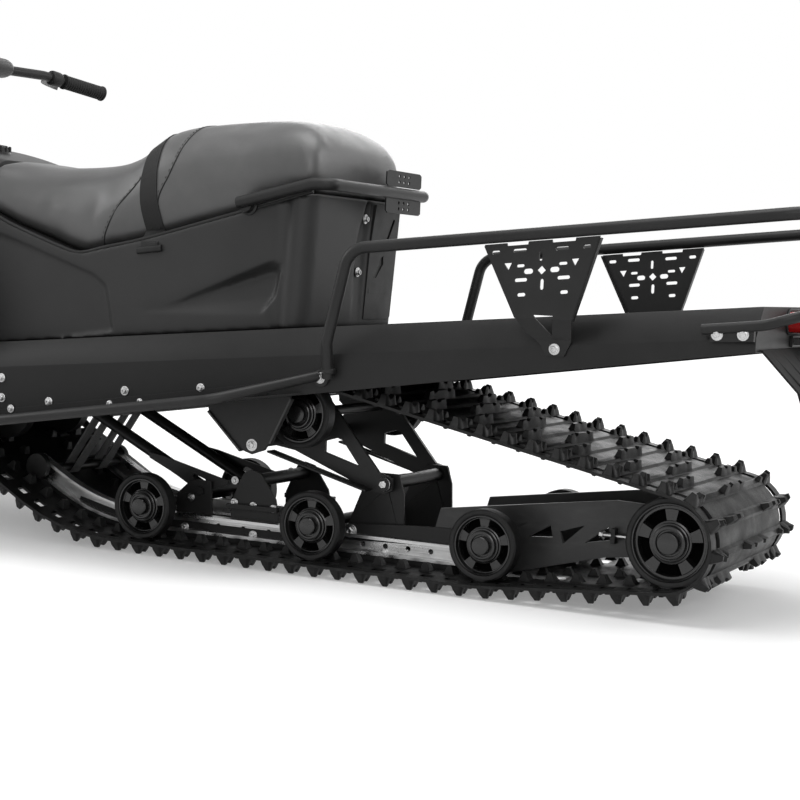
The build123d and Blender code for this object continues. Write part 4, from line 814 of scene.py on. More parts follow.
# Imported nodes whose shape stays, with rounded edges
for node, kind, bevel in (
        ("tunnel", "black_aluminium", 2.0), ("rails", "bare_aluminium", 0.6),
        ("drop_brackets", "black_steel", 1.0), ("skid_brackets", "black_steel", 0.8),
        ("rear_arm", "black_steel", 1.0), ("console", "body_plastic", 2.0), ("snow_flap", "flap_rubber", 1.0),
        # The rail extensions' lighter steel is partly painted light
        ("tow_hitch", "black_steel", 1.0), ("rail_extensions", "scuffed_lit_steel", 0.8),
        ("running_boards", "black_aluminium", 0.6)):
    softened(node, kind, bevel)


def tunnel_edge(x):
    """Height of the tunnel's lower edge."""
    return 454 - 0.150 * x


def tunnel_top(x):
    """Height of the tunnel's top."""
    return 539 - 0.0912 * x


# Seat base: moulded shell with side pockets, and a cover plate behind
SEAT_LINE = [(1560, 690), (1480, 652), (1335, 604), (1290, 598), (1234, 610), (1136, 630), (954, 677), (835, 708),
             (750, 731)]
POCKET_LINE = [(1196, 482), (838, 598), (806, 599), (818, 526), (846, 484)]
# Its floor, with the distance out to the side: flush again at the lower edge
POCKET_FLOOR = [(1104, 487, 188), (852, 572, 167), (828, 572, 169), (836, 526, 176), (858, 490, 189.6)]
CREASE_LINE = [(1600, 658), (1468, 622), (1259, 556), (1226, 534), (1206, 440), (1600, 380)]
SEAT_HALF = 190


def corner(x, y, radius, start, steps=8):
    """Quarter round from an angle on, clockwise."""
    angles = [start - math.pi / 2 * s / steps for s in range(steps + 1)]
    return [(x + radius * math.cos(angle), y + radius * math.sin(angle)) for angle in angles]


def base_plan(rear):
    """Outline of the base seen from above: a wide left rear corner with a flute beside it, a tight right one."""
    return [(1560, SEAT_HALF), (1560, -SEAT_HALF), *corner(rear + 14, -SEAT_HALF + 14, 14, -math.pi / 2),
            *corner(rear + 36, SEAT_HALF - 36, 36, math.pi), (rear + 42, SEAT_HALF - 2), (rear + 48, SEAT_HALF - 6),
            (rear + 56, SEAT_HALF - 6.5), (rear + 64, SEAT_HALF - 3), (rear + 74, SEAT_HALF)]


base = Form()
base.closed([[at(x, y, z) for x, y in base_plan(rear)] for z, rear in ((380, 769), (760, 748))])
seat_shell = mesh_piece(base)
profile = Form()
profile.prism([(1600, 706), *SEAT_LINE, (700, 745), (700, tunnel_top(700) + 1), (1600, tunnel_top(1600) + 1)],
              -230, 230)
carve(seat_shell, mesh_piece(profile), "INTERSECT")
for side in BOTH:
    pocket = Form()
    rows = [[at(x, side * 191, z) for x, z in POCKET_LINE], [at(x, side * y, z) for x, z, y in POCKET_FLOOR]]
    pocket.closed(rows)
    carve(seat_shell, mesh_piece(pocket))
    crease = Form()
    crease.prism(CREASE_LINE, *sorted((side * 184.5, side * 200)))
    carve(seat_shell, mesh_piece(crease))
channel = Form()
CHANNEL = [(-8, 470), (-8, 640), (-40, 726), (-58, 726), (-48, 640), (-44, 470)]
channel.closed([[at(x, y, z) for y, z in CHANNEL] for x in (700, 764)])
carve(seat_shell, mesh_piece(channel))
moulded(seat_shell, 4.6, 5)
dress(take_mesh(seat_shell), "seat_shell", "body_plastic", angle=180, replaces=("seat_base",))

REAR_TURN = math.atan2(19, 276)


def on_rear_face(mesh, foot_x, foot_z):
    """Stand a sheet on the rear face of the seat base: its own directions run to the left and up."""
    rise = Vector((-math.sin(REAR_TURN), 0, math.cos(REAR_TURN)))
    mesh.transform(placing(LEFT, rise, LEFT.cross(rise), at(foot_x, 0, foot_z)))
    return mesh


COVER = [(-60, 6), (-172, 6), (-178, 12), (-178, 236), (-172, 242), (-70, 242), (-60, 150)]
cover_holes = [slot_ring(-143, 192, 52, 8, math.radians(118)),
               [(-84, 92), (-112, 134), (-122, 138), (-124, 120), (-98, 92)]]
dress(on_rear_face(punched(COVER, cover_holes, 4), 764, 480), "seat_rear_cover", "slider_plastic", bevel=0.8)
liner = Form()
liner.block(757, 759, -160, -70, 540, 722)
liner.build("seat_rear_liner", "slider_plastic")

# Seat cushion: crowned cover, swelled, with seams, stitches and strap
CUSHION_TOP = [(742, 786), (752, 830), (790, 862), (860, 870), (1060, 858), (1130, 838), (1190, 798), (1260, 778),
               (1420, 772), (1560, 790)]


def level(line, x):
    """Height of a line at a distance ahead."""
    for (x1, z1), (x2, z2) in zip(line, line[1:]):
        if min(x1, x2) <= x <= max(x1, x2):
            return z1 + (z2 - z1) * (x - x1) / (x2 - x1)
    return line[0][1] if abs(x - line[0][0]) < abs(x - line[-1][0]) else line[-1][1]


TOP_CURVE = [(p.x, p.y) for p in through([Vector(p) for p in CUSHION_TOP], 8)]
# Section of the cushion as shares of its half width and its height
CROWN = [(-0.88, 0.0), (-0.962, 0.09), (-0.992, 0.22), (-1.0, 0.38), (-0.99, 0.58), (-0.96, 0.75), (-0.89, 0.88),
         (-0.76, 0.965), (-0.5, 1.0), (-0.25, 1.012), (0, 1.015)]
CROWN += [(-across, rise) for across, rise in reversed(CROWN[:-1])]


def cushion_ring(x, width, lift, drop):
    """Section of the cushion: narrower by a share, its foot lifted and its top dropped."""
    low, high = level(SEAT_LINE, x) + 0.5 + lift, level(TOP_CURVE, x) - drop
    waist = 183 if x < 1240 else 183 - 8 * math.sin(math.pi * min((x - 1240) / 320, 1))
    return [at(x, waist * width * across, low + (high - low) * rise) for across, rise in CROWN]


cushion_form = Form()
rows = [cushion_ring(742.5, 0.82, 8, 14), cushion_ring(744, 0.91, 3, 5), cushion_ring(749, 0.965, 1, 1)]
rows += [cushion_ring(756 + 12 * s, 1, 0, 0) for s in range(67)]
rows += [cushion_ring(1555, 0.97, 2, 5), cushion_ring(1560, 0.9, 8, 18)]
cushion_form.closed(rows)
cushion = dress(take_mesh(mesh_piece(cushion_form)), "seat_cover", "seat_vinyl", angle=70,
                replaces=("seat_cushion",))
swell(cushion, 3.0, 6, 9)
relax(cushion, 14)
apply_modifiers(cushion)
for polygon in cushion.data.polygons:
    polygon.use_smooth = True
cushion_tree = tree_of(cushion.data)
# Height of the cushion's core, and metres from one stitch to the next
SEAT_CORE, STITCH_STEP = 700, 0.009


def on_cushion(x, angle):
    """Place on the cushion in a cut across it, at an angle from the left."""
    ray = Vector((0, math.cos(angle), math.sin(angle)))
    return skin(cushion_tree, at(x, 0, SEAT_CORE) + ray * 0.6, -ray)


def seam_places(path, side):
    return [skin(cushion_tree, at(x, side * 600, z), LEFT * -side) for x, z in path]


FRONT_SEAM = [(1253, 616), (1245, 634), (1225, 666), (1201, 700), (1180, 722), (1163, 742), (1148, 762), (1136, 784)]
REAR_SEAM = [(1118, 646), (1112, 680), (1106, 712), (1096, 735), (1084, 756), (1074, 778), (1066, 800)]
seams, stitches = Form(), Form()
for line in (FRONT_SEAM, REAR_SEAM):
    left = seam_places(line, 1)
    right = seam_places(line, -1)
    angle = math.atan2(line[-1][1] - SEAT_CORE, left[-1].y / MM)
    over = [on_cushion(line[-1][0] - 26 * math.sin(math.pi * s / 15), angle + (math.pi - 2 * angle) * s / 15)
            for s in range(1, 15)]
    run = through(left + over + list(reversed(right)), 3)
    seams.sweep(run, disc(1.5, 6))
    travel = 0.0
    for a, b in zip(run, run[1:]):
        travel += (b - a).length
        if travel > STITCH_STEP:
            travel = 0.0
            along = (b - a).normalized()
            beside = FORWARD - along * along.x
            mid = (a + b) / 2 + beside * 5 * MM
            away = Vector((0, mid.y, mid.z - SEAT_CORE * MM)).normalized()
            mid = skin(cushion_tree, mid + away * 0.1, -away) + away * 0.4 * MM
            stitches.sweep([mid - along * 2.4 * MM, mid, mid + along * 2.4 * MM], disc(0.7, 6))
for side in BOTH:
    edge = [at(x, side * 185.5, z + 1) for x, z in SEAT_LINE]
    seams.sweep(through(edge, 4), disc(4.2, 10))
seams.build("seat_seams", "slider_plastic")
stitches.build("seat_stitches", "stitching")

# The strap runs up one side, over the cushion and down the other side
STRAP_SECTION = [(1100, 190.8), (1140, 190.8), (1140, 193.2), (1100, 193.2)]


def strap_end(side, z):
    """Section of the strap where it hangs on the seat base."""
    return [at(x, side * y, z) for x, y in STRAP_SECTION]


strap = Form()
rows = [strap_end(1, z) for z in (604, 612, 624)]
for s in range(49):
    turn = math.radians(-17 + 214 * s / 48)
    pair = [on_cushion(x + 16 * math.sin(turn), turn) for x in (1107, 1148)]
    away = Vector((0, math.cos(turn), math.sin(turn))) * MM
    rows.append([pair[0] + away * 0.2, pair[1] + away * 0.2, pair[1] + away * 2.6, pair[0] + away * 2.6])
rows += [strap_end(-1, z) for z in (624, 612, 604)]
strap.closed(rows)
strap.build("seat_strap", "seat_webbing")
tabs = Form()
for side in BOTH:
    tabs.sweep([at(x, side * 192.5, 610 + (x - 1118) * -0.12) for x in (1090, 1104, 1136, 1149)],
               [(side * u, v) for u, v in slot_ring(0, 0, 14, 8, math.pi / 2)])
    for x, z in ((1112, 640), (1130, 638), (1112, 655), (1130, 653)):
        place = skin(cushion_tree, at(x, side * 600, z), LEFT * -side)
        tabs.lathe(place + Vector((0, side * 2.2 * MM, 0)), LEFT * side, [(2.2, 0), (1.8, 1.2), (0.01, 1.6)], 10)
tabs.build("seat_strap_tabs", "slider_plastic", bevel=0.6)

# Grab rail with its punched plates
grab = Form()
GRAB_Y = 206
grab_half = [(905, 706), (740, 745), (702, 745)]
grab_path = [at(x, GRAB_Y, z) for x, z in grab_half] + [at(x, -GRAB_Y, z) for x, z in reversed(grab_half)]
grab.sweep(rounded(grab_path, 38), disc(12, 20))
for side in BOTH:
    grab.lathe(at(890, side * 190, 703), LEFT * side, [(20, 0), (20, 3), (16, 5), (14, 16), (0.01, 16)], 28)
grab.build("grab_tube", "black_steel", replaces=("grab_rail",), angle=50)
for name, foot in (("grab_plate_upper", 758), ("grab_plate_lower", 704)):
    plate_ring = [(-178, 4), (-170, 0), (-30, 0), (-22, 4), (-22, 28), (-30, 32), (-170, 32), (-178, 28)]
    holes = [slot_ring(-100 + i * 22, 10 + 12 * j, 7, 7) for i in (-1, 0, 1) for j in (0, 1)]
    sheet = punched(plate_ring, holes, 3)
    sheet.transform(placing(LEFT, UP, FORWARD, at(701, 0, foot)))
    dress(sheet, name, "black_steel", bevel=0.5)

# Rack plates, punched, folded in to the tunnel's side
RACK_Y = 298
PLATE_OUTLINE = [(335, 638), (293, 642.4), (292, 637.5), (253, 641.5), (252, 646.6), (209, 651), (208, 646),
                 (166, 650.3), (165, 655.6), (122, 660), (167, 512), (176, 476), (188, 450), (222, 450), (233, 469),
                 (256, 488), (272, 514)]
# Slots along the plate as (x, z, length, width), then the other holes
PLATE_SLOTS = [(313, 625.5, 16, 6), (268, 630.5, 26, 6), (189.5, 636.5, 25, 6), (144.5, 641, 15, 6),
               (265.5, 604, 15, 5), (187, 611, 16, 5), (250.5, 595, 18, 9), (202, 600, 18, 9), (264, 579.5, 24, 6),
               (185, 587, 24, 6), (262, 554, 16, 6), (183, 562, 15, 6)]
PLATE_RINGS = [[(297, 607), (282, 608.5), (288, 595)], [(172, 619), (158, 620.5), (165, 607)],
               [(226, 590), (218, 598), (226, 606), (234, 598)], [(238, 520), (201, 520), (209, 484)]]
PLATE_RINGS += [slot_ring(u, v, length, width, -0.1) for u, v, length, width in PLATE_SLOTS]
PLATE_RINGS += [slot_ring(228.5, 622.5, 17, 6, math.pi / 2), slot_ring(224.5, 573.5, 19, 7, math.pi / 2)]
PLATE_RINGS.append(slot_ring(206, 462, 9, 9))
# The plate folds in between these heights, down to the tunnel's side
FOLD_TOP, FOLD_FOOT, FOOT_Y = 514, 478, 270.3
for side, label in SIDES:
    sheet = punched(PLATE_OUTLINE, PLATE_RINGS, 4)
    work = bmesh.new()
    work.from_mesh(sheet)
    for height in (FOLD_TOP, FOLD_FOOT):
        bmesh.ops.bisect_plane(work, geom=[*work.verts, *work.edges, *work.faces], plane_co=(0, height * MM, 0),
                               plane_no=(0, 1, 0))
    for vertex in work.verts:
        x, z, depth = vertex.co
        height = z / MM
        fold = min(max((FOLD_TOP - height) / (FOLD_TOP - FOLD_FOOT), 0), 1)
        vertex.co = at(x / MM, side * (RACK_Y + depth / MM - fold * (RACK_Y - FOOT_Y)), height)
    work.to_mesh(sheet)
    work.free()
    dress(sheet, f"rack_plate_{label}", "black_steel", bevel=0.5, angle=30,
          replaces=("rack_plates",) if side == 1 else ())


def edge_strips(form, lines, out, half):
    """Folded edges along side lines, on both sides."""
    for side in BOTH:
        for (x1, z1), (x2, z2) in lines:
            path = [at(x, side * out, z) for x, z in ((x1, z1), ((x1 + x2) / 2, (z1 + z2) / 2), (x2, z2))]
            form.sweep(path, [(-half, -6), (half, -6), (half, 6), (-half, 6)], LEFT)


flanges = Form()
edge_strips(flanges, [((122, 657), (167, 512)), ((335, 636), (272, 514))], RACK_Y - 5, 1.5)
flanges.build("rack_plate_flanges", "black_steel", bevel=0.4)

# Doubler plates on the tunnel, serrated strips on the boards, collars on the rack legs
doublers = Form()
DOUBLER = [(1640, tunnel_edge(1640) + 28), (807, tunnel_edge(807) + 29), (792, 357), (785, 346),
           (785, tunnel_edge(785) + 2), (1640, tunnel_edge(1640) + 2)]
doublers.prism_pair(DOUBLER, TUNNEL_SIDE, DOUBLER_SIDE)
doublers.build("tunnel_doublers", "black_aluminium", bevel=0.5)
teeth = Form()
TOOTH_RUNS = [(796, 970), (1028, 1087), (1123, 1152), (1183, 1233), (1270, 1389), (1425, 1640)]
for start, stop in TOOTH_RUNS:
    count = max(int((stop - start) / 14), 1)
    outline = [(start, tunnel_edge(start) + 3)]
    for n in range(count):
        x = start + (stop - start) * n / count
        outline += [(x, tunnel_edge(x) + 7), (x + 7, tunnel_edge(x) + 13)]
    outline += [(stop, tunnel_edge(stop) + 7), (stop, tunnel_edge(stop) + 3)]
    for y in (286, 323, 370, 412):
        teeth.prism_pair(outline, y - 1, y + 1)
teeth.build("board_teeth", "black_aluminium")
collars = Form()
for side in BOTH:
    collars.lathe(at(649, side * 280.5, 392), Vector((-0.05, 0, 1)),
                  [(11.5, 0), (14, 1.5), (14, 9), (11.5, 10.5)], 28)
    collars.lathe(at(668, side * 270, 382), LEFT * side, [(16, 0), (16, 4), (14, 5), (0.01, 5)], 28)
collars.build("rack_collars", "black_steel", bevel=0.4)

# Slide rails: dark webs, side plates, adjusters, torsion brackets and the front arm's gussets
webs = Form()
webs.prism_pair([(742, 38), (1108, 38), (1108, 58), (742, 58)], RAIL_SIDE, RAIL_SIDE + 2)
webs.prism_pair([(1118, 40), (1150, 40), (1240, 48), (1330, 68), (1326, 84), (1236, 64), (1150, 57), (1118, 57)],
                RAIL_SIDE, RAIL_SIDE + 1.8)
webs.build("rail_webs", "slider_plastic", bevel=0.5)
adjusters = Form()
for side in BOTH:
    y = side * 127
    adjusters.lathe(at(100, y, 126), FORWARD, [(4, 0), (4, 52)], 16)
    bolt(adjusters, at(150, y, 126), FORWARD, 6.5, 7, washer=9)
adjusters.build("axle_adjusters", "zinc_steel")
lug_plates = Form()
lug_plates.prism_pair([(126, 112), (134, 112), (134, 140), (126, 140)], RAIL_SIDE, 136)
lug_plates.build("adjuster_lugs", "black_steel", bevel=0.5)

side_plates = Form()
side_plates.prism_pair([(690, 60), (677, 92), (536, 102), (425, 106), (425, 69)], RAIL_SIDE, 122)
side_plates.build("rail_side_plates", "black_steel", bevel=0.5)
edges = Form()
edge_strips(edges, [((918, 302), (842, 231)), ((734, 338), (777, 250))], 263, 2)
# Edge strips in the lighter steel, whose lighter colour is painted light
edges.build("drop_bracket_edges", "scuffed_lit_steel", bevel=0.5)


def upright(sheet, side, out):
    """Stand a sheet upright along the machine, at a distance out to one side."""
    sheet.transform(placing(FORWARD, UP, LEFT * side, at(0, side * out, 0)))
    if side == 1:
        sheet.flip_normals()
    return sheet


GUSSET = [(1170, 190), (1128, 184), (970, 147), (972, 138), (1030, 120), (1056, 126), (1106, 152), (1166, 178)]
for side, label in SIDES:
    sheet = punched(GUSSET, [slot_ring(1041, 144, 36, 11, 0.3)], 4)
    dress(upright(sheet, side, 100), f"arm_gusset_{label}", "black_steel", bevel=0.5)

TORSION_OUTLINE = [(838, 45), (956, 45), (956, 108), (930, 166), (912, 176), (888, 170), (852, 120)]
brackets = Form()
brackets.prism_pair(TORSION_OUTLINE, 105.7, 110.7)
brackets.prism_pair([(842, 96), (962, 94), (962, 104), (842, 106)], 110.7, 122)
brackets.lathe(at(911, -105, 152), LEFT, [(13, 0), (13, 210)], 28)
brackets.build("torsion_frame", "black_steel", bevel=0.6)


def shock(steel, coils, foot, head, eye_axis):
    """Shock absorber between two eyes with an open coil spring round it."""
    # Radii of rod, body, spring and its wire; windings; radius and half width of an eye
    rod, body, coil, wire, windings, eye, eye_half = 7, 15, 22, 4, 7, 14, 10
    axis = (head - foot).normalized()
    length = (head - foot).length / MM
    for end in (foot, head):
        steel.lathe(end - eye_axis * eye_half * MM, eye_axis, [(eye - 2, 0), (eye, 1.5), (eye, 2 * eye_half - 1.5),
                                                              (eye - 2, 2 * eye_half)], 24)
    steel.lathe(foot, axis, [(rod, eye * 0.7), (rod, length * 0.5)], 20)
    steel.lathe(foot, axis, [(body - 4, length * 0.4), (body, length * 0.4 + 3), (body, length - eye - 6),
                             (body - 5, length - eye * 0.8)], 28)
    low, high = length * 0.14, length * 0.80
    for along in (low, high):
        steel.lathe(foot, axis, [(rod, along - 4), (coil + wire + 1, along - 4), (coil + wire + 1, along),
                                 (rod, along)], 28)
    side = axis.orthogonal().normalized()
    other = axis.cross(side)
    path = []
    for s in range(windings * 16 + 1):
        turn = 2 * math.pi * s / 16
        path.append(foot + axis * (low + wire + (high - low - 2 * wire - 4) * s / (windings * 16)) * MM
                    + (side * math.cos(turn) + other * math.sin(turn)) * coil * MM)
    coils.sweep(path, disc(wire, 8))


steel, coils = Form(), Form()
for side in BOTH:
    foot = at(2176, side * 360, 201.5)
    shock(steel, coils, foot, at(2118, side * 214, 402), FORWARD)
    steel.lathe(at(2142, side * 360, 201.5), FORWARD, [(5.7, 0), (5.7, 70)], 16)
steel.prism_pair([(2106, 386), (2130, 386), (2130, 418), (2106, 418)], 196.4, 212)
steel.build("shock_bodies", "black_steel", angle=40)
coils.build("shock_springs", "zinc_steel", angle=60)

# Perforated blades of the rear arm
BLADE, BLADE_Y = [(0, -14), (230, -14), (230, 14), (0, 14)], 146
for side, label in SIDES:
    flat = punched(BLADE, [slot_ring(70, 0, 96, 9), slot_ring(168, 0, 40, 8)], 4)
    foot, head = at(847, side * BLADE_Y, 222), at(628, side * BLADE_Y, 165)
    run = (head - foot).normalized()
    flat.transform(placing(run, LEFT, run.cross(LEFT), foot))
    dress(flat, f"arm_blade_{label}", "black_steel", bevel=0.5)

# Front body: hood, belly pan, lamps

# Sections of the front body, as (x, low, middle, high, floor half, side half, top half, corner radius)
BODY_SECTIONS = [(1726, 232, 560, 772, 240, 300, 160, 55), (1880, 214, 560, 812, 268, 336, 178, 60),
                 (2080, 208, 545, 790, 272, 338, 180, 60), (2300, 228, 492, 696, 222, 288, 160, 52),
                 (2470, 272, 440, 585, 146, 202, 110, 38), (2548, 322, 408, 496, 78, 116, 58, 24)]


def body_ring(values, inset):
    """Rounded six-cornered section of the front body."""
    x, low, middle, high, floor_half, side_half, top_half, radius = values
    right = [Vector((floor_half - inset, low + inset)), Vector((side_half - inset, middle)),
             Vector((top_half - inset, high - inset))]
    corners = right + [Vector((-p.x, p.y)) for p in reversed(right)]
    ring = []
    for index, b in enumerate(corners):
        back, on = (corners[index - 1] - b), (corners[(index + 1) % 6] - b)
        reach = radius / math.tan(back.angle(on) / 2)
        start = b + back.normalized() * min(reach, back.length * 0.45)
        end = b + on.normalized() * min(reach, on.length * 0.45)
        for step in range(8):
            t = step / 7
            ring.append(start * (1 - t) ** 2 + b * 2 * t * (1 - t) + end * t * t)
        following = corners[(index + 1) % 6]
        next_start = following + (b - following).normalized() * min(reach, on.length * 0.45)
        ring += [end + (next_start - end) * t for t in (0.25, 0.5, 0.75)]
    return [at(x, p.x, p.y) for p in ring]


def body_block(inset, start, end):
    """Front body as one block, smaller all round by the inset, its ends moved."""
    stations = through([Vector(values[:3]) for values in BODY_SECTIONS], 8)
    others = through([Vector(values[3:6]) for values in BODY_SECTIONS], 8)
    rests = through([Vector((*values[6:8], 0)) for values in BODY_SECTIONS], 8)
    rows = []
    for index, (a, b, c) in enumerate(zip(stations, others, rests)):
        x = a.x + (start if index == 0 else 0) + (end if index == len(stations) - 1 else 0)
        rows.append(body_ring((x, a.y, a.z, b.x, b.y, b.z, c.x, c.y), inset))
    last = rows[-1]
    centre = sum(last, Vector()) / len(last)
    for shrink, ahead in ((0.93, 9), (0.78, 16), (0.5, 21)):
        rows.append([centre + (p - centre) * shrink + Vector((ahead * MM, 0, 0)) for p in last])
    block = Form()
    block.closed(rows)
    return block


def box_form(x_low, x_high, y_low, y_high, z_low, z_high):
    box = Form()
    box.block(x_low, x_high, y_low, y_high, z_low, z_high)
    return mesh_piece(box)


def round_cut(place, axis, radius, length, squash=1.0):
    """Cylinder to cut with, its height squashed."""
    tool = Form()
    tool.lathe(place, axis, [(radius, 0), (radius, length)], 40)
    tool.points = [Vector((p.x, p.y, place.z + (p.z - place.z) * squash)) for p in tool.points]
    return mesh_piece(tool)


body_shell = mesh_piece(body_block(0, 0, 0))
body_tree = tree_of(body_shell.data)
carve(body_shell, mesh_piece(body_block(5, -3, -5)))
for side in BOTH:
    carve(body_shell, box_form(2022, 2335, *sorted((side * 200, side * 400)), 150, 425))
carve(body_shell, round_cut(at(2002, -400, 338), LEFT, 34, 800))
LAMP_Y, LAMP_Z, LAMP_RADIUS, LAMP_SQUASH = 118, 560, 62, 0.52


def copied(piece):
    """Second loose object with the same shape."""
    return add_object("work", piece.data.copy())


def lamp_cut(side, grow=0):
    return round_cut(at(2330, side * LAMP_Y, LAMP_Z), FORWARD, LAMP_RADIUS + grow, 240, LAMP_SQUASH)


lens_shell, lens_cut = copied(body_shell), lamp_cut(1)
carve(lens_cut, lamp_cut(-1), "UNION")
carve(lens_shell, lens_cut, "INTERSECT")
dress(take_mesh(lens_shell), "headlamp_lenses", "lamp_clear", angle=30, replaces=("headlamps",))
for side in BOTH:
    carve(body_shell, lamp_cut(side, 1.5))
belly = copied(body_shell)
carve(belly, box_form(1600, 2700, -500, 500, 429, 1000))
carve(body_shell, box_form(1600, 2700, -500, 500, 100, 431))
carve(body_shell, box_form(1690, 1806.5, -215, 215, 560, 900))
column_run = Vector((-265, 0, 425)).normalized()
carve(body_shell, round_cut(at(2010, 0, 560), column_run, 32, 600))
dress(take_mesh(body_shell), "hood_shell", "hood_plastic", bevel=1.0, angle=32, replaces=("cowl",))
dress(take_mesh(belly), "belly_shell", "body_plastic", bevel=1.0, angle=32, replaces=("belly_pan",))


def side_places(line, side):
    """Places on the front body's side, from their distance ahead and height."""
    return [skin(body_tree, at(x, side * 700, z), LEFT * -side) for x, z in line]


def top_places(line):
    """Places on its top, from their distance ahead and to the left."""
    return [skin(body_tree, at(x, y, 1500), -UP) for x, y in line]


def front_place(y, z):
    """Place on its front."""
    return skin(body_tree, at(2900, y, z), -FORWARD)


trim, louvres, ridges = Form(), Form(), Form()
for side in BOTH:
    shoulder = [(1740 + 40 * n, 556 - max(0, (n * 40 - 330)) * 0.215) for n in range(19)]
    trim.sweep(through(side_places(shoulder, side), 3), disc(2.2, 8))
    split = [(1740 + 40 * n, 430) for n in range(7)] + [(2350 + 36 * n, 430) for n in range(5)]
    trim.sweep(side_places(split[:7], side), disc(2.6, 8))
    trim.sweep(side_places(split[7:], side), disc(2.6, 8))
    for n in range(6):
        z = 690 - 17 * n
        row = side_places([(1905 + 8 * n + 22 * k, z - 1.5 * k) for k in range(9)], side)
        louvres.sweep(row, [(-7, -1.5), (0, -3.5), (9, 0.5), (0, 3.5)])
    for n in range(4):
        z = 395 - 20 * n
        row = side_places([(1800 + 20 * k, z) for k in range(9)], side)
        louvres.sweep(row, [(-6, -1.5), (0, -3), (7, 0.5), (0, 3)])
    hood_line = [(2035 + 44 * n, side * (150 - 4.6 * n - 0.35 * n * n)) for n in range(11)]
    ridges.sweep(through(top_places(hood_line), 3), [(-9, -4), (-3, 3.2), (3, 3.2), (9, -4)])
    lamp_rim = [front_place(side * LAMP_Y + y, LAMP_Z + LAMP_SQUASH * z) for y, z in disc(LAMP_RADIUS + 1, 40)]
    trim.sweep(lamp_rim, disc(3.2, 8), FORWARD, closed=True)
trim.sweep(through(top_places([(2016 + 30 * n, 0) for n in range(3)]), 2), disc(1.2, 6))
for n, half in enumerate((52, 60, 66, 70)):
    z = 452 - 22 * n
    row = [front_place(y, z) for y in range(-half, half + 1, 10)]
    louvres.sweep(row, [(-5, -2), (0, -4), (6, 0), (0, 4)], UP)
trim.build("hood_trim", "slider_plastic", angle=60)
louvres.build("hood_louvres", "body_plastic", angle=30)
ridges.build("hood_ridges", "hood_plastic", angle=30)

bowls, lamp_bodies = Form(), Form()
for side in BOTH:
    for y, radius in ((92, 26), (146, 21)):
        centre = front_place(side * y, LAMP_Z) - FORWARD * (14 + radius * 0.9) * MM
        bowls.lathe(centre, FORWARD, [(0.01, 0), (radius * 0.3, 0.5), (radius * 0.62, radius * 0.22),
                                      (radius * 0.88, radius * 0.55), (radius, radius * 0.9),
                                      (radius + 3, radius * 0.92), (radius + 3, radius * 0.8)], 40)
        bowls.lathe(centre, FORWARD, [(5, 0), (5, radius * 0.45), (3, radius * 0.55), (0.01, radius * 0.58)], 20)
    shade_x = (front_place(side * LAMP_Y, LAMP_Z).x - AXLE_X) / MM - 48
    lamp_bodies.block(shade_x, shade_x + 4, *sorted((side * 52, side * 178)), 524, 596)
bowls.build("headlamp_bowls", "reflector", angle=50)
lamp_bodies.build("headlamp_housings", "slider_plastic", bevel=2)

# Windshield, a tapered sheet with a rubber edge and screws
SHIELD_TOP = 1244
SHIELD_LEAN = math.tan(math.radians(30))
HALF_WIDTHS = [(640, 150), (720, 196), (790, 226), (900, 243), (1020, 236), (1140, 208), (1246, 168)]
ARC_CENTRE, ARC_RADIUS = 2315 - 295.9, 295.9


def shield_place(across, z, depth=0.0):
    """Place on the windshield, across it from -1 to 1."""
    y = across * level(HALF_WIDTHS, z)
    x = ARC_CENTRE + math.sqrt(max(ARC_RADIUS ** 2 - y * y, 0)) - (z - 640) * SHIELD_LEAN
    return at(x - depth, y, z)


def shield_foot(across):
    """Height at which the windshield meets the hood."""
    for z in range(640, 900, 3):
        place = shield_place(across, z)
        hit = body_tree.ray_cast(place + UP, -UP)[0]
        if hit is None or hit.z < place.z:
            return z - 2
    return 900


columns = [-1 + 2 * c / 24 for c in range(25)]
feet = [shield_foot(u) for u in columns]
tops = [SHIELD_TOP - 46 * abs(u) ** 5 for u in columns]
shield = Form()
shield.patch([[shield_place(u, foot + (top - foot) * v / 20) for u, foot, top in zip(columns, feet, tops)]
              for v in range(21)])
pane = mesh_piece(shield)
thicken = pane.modifiers.new("sheet", "SOLIDIFY")
thicken.thickness = 3.6 * MM
thicken.offset = 0
apply_modifiers(pane)
dress(take_mesh(pane), "windshield_pane", "windshield_clear", angle=40, replaces=("windshield",))
border = [shield_place(-1, feet[0] + (tops[0] - feet[0]) * v / 16) for v in range(17)]
border += [shield_place(u, top) for u, top in zip(columns[1:], tops[1:])]
border += [shield_place(1, feet[-1] + (tops[-1] - feet[-1]) * v / 16) for v in range(15, -1, -1)]
edging = Form()
edging.sweep(border, disc(3.6, 10), FORWARD)
edging.sweep([shield_place(u, foot + 3) for u, foot in zip(columns, feet)], disc(5, 10), FORWARD)
edging.build("windshield_edge", "slider_plastic", angle=60)
screws = Form()
for c in (3, 8, 16, 21):
    place = shield_place(columns[c], feet[c] + 22, -2)
    screws.lathe(place, Vector((0.8, columns[c] * 0.8, 0.5)), [(9, 0), (9, 1.5), (5, 4), (0.01, 4.5)], 20)
screws.build("windshield_screws", "slider_plastic")

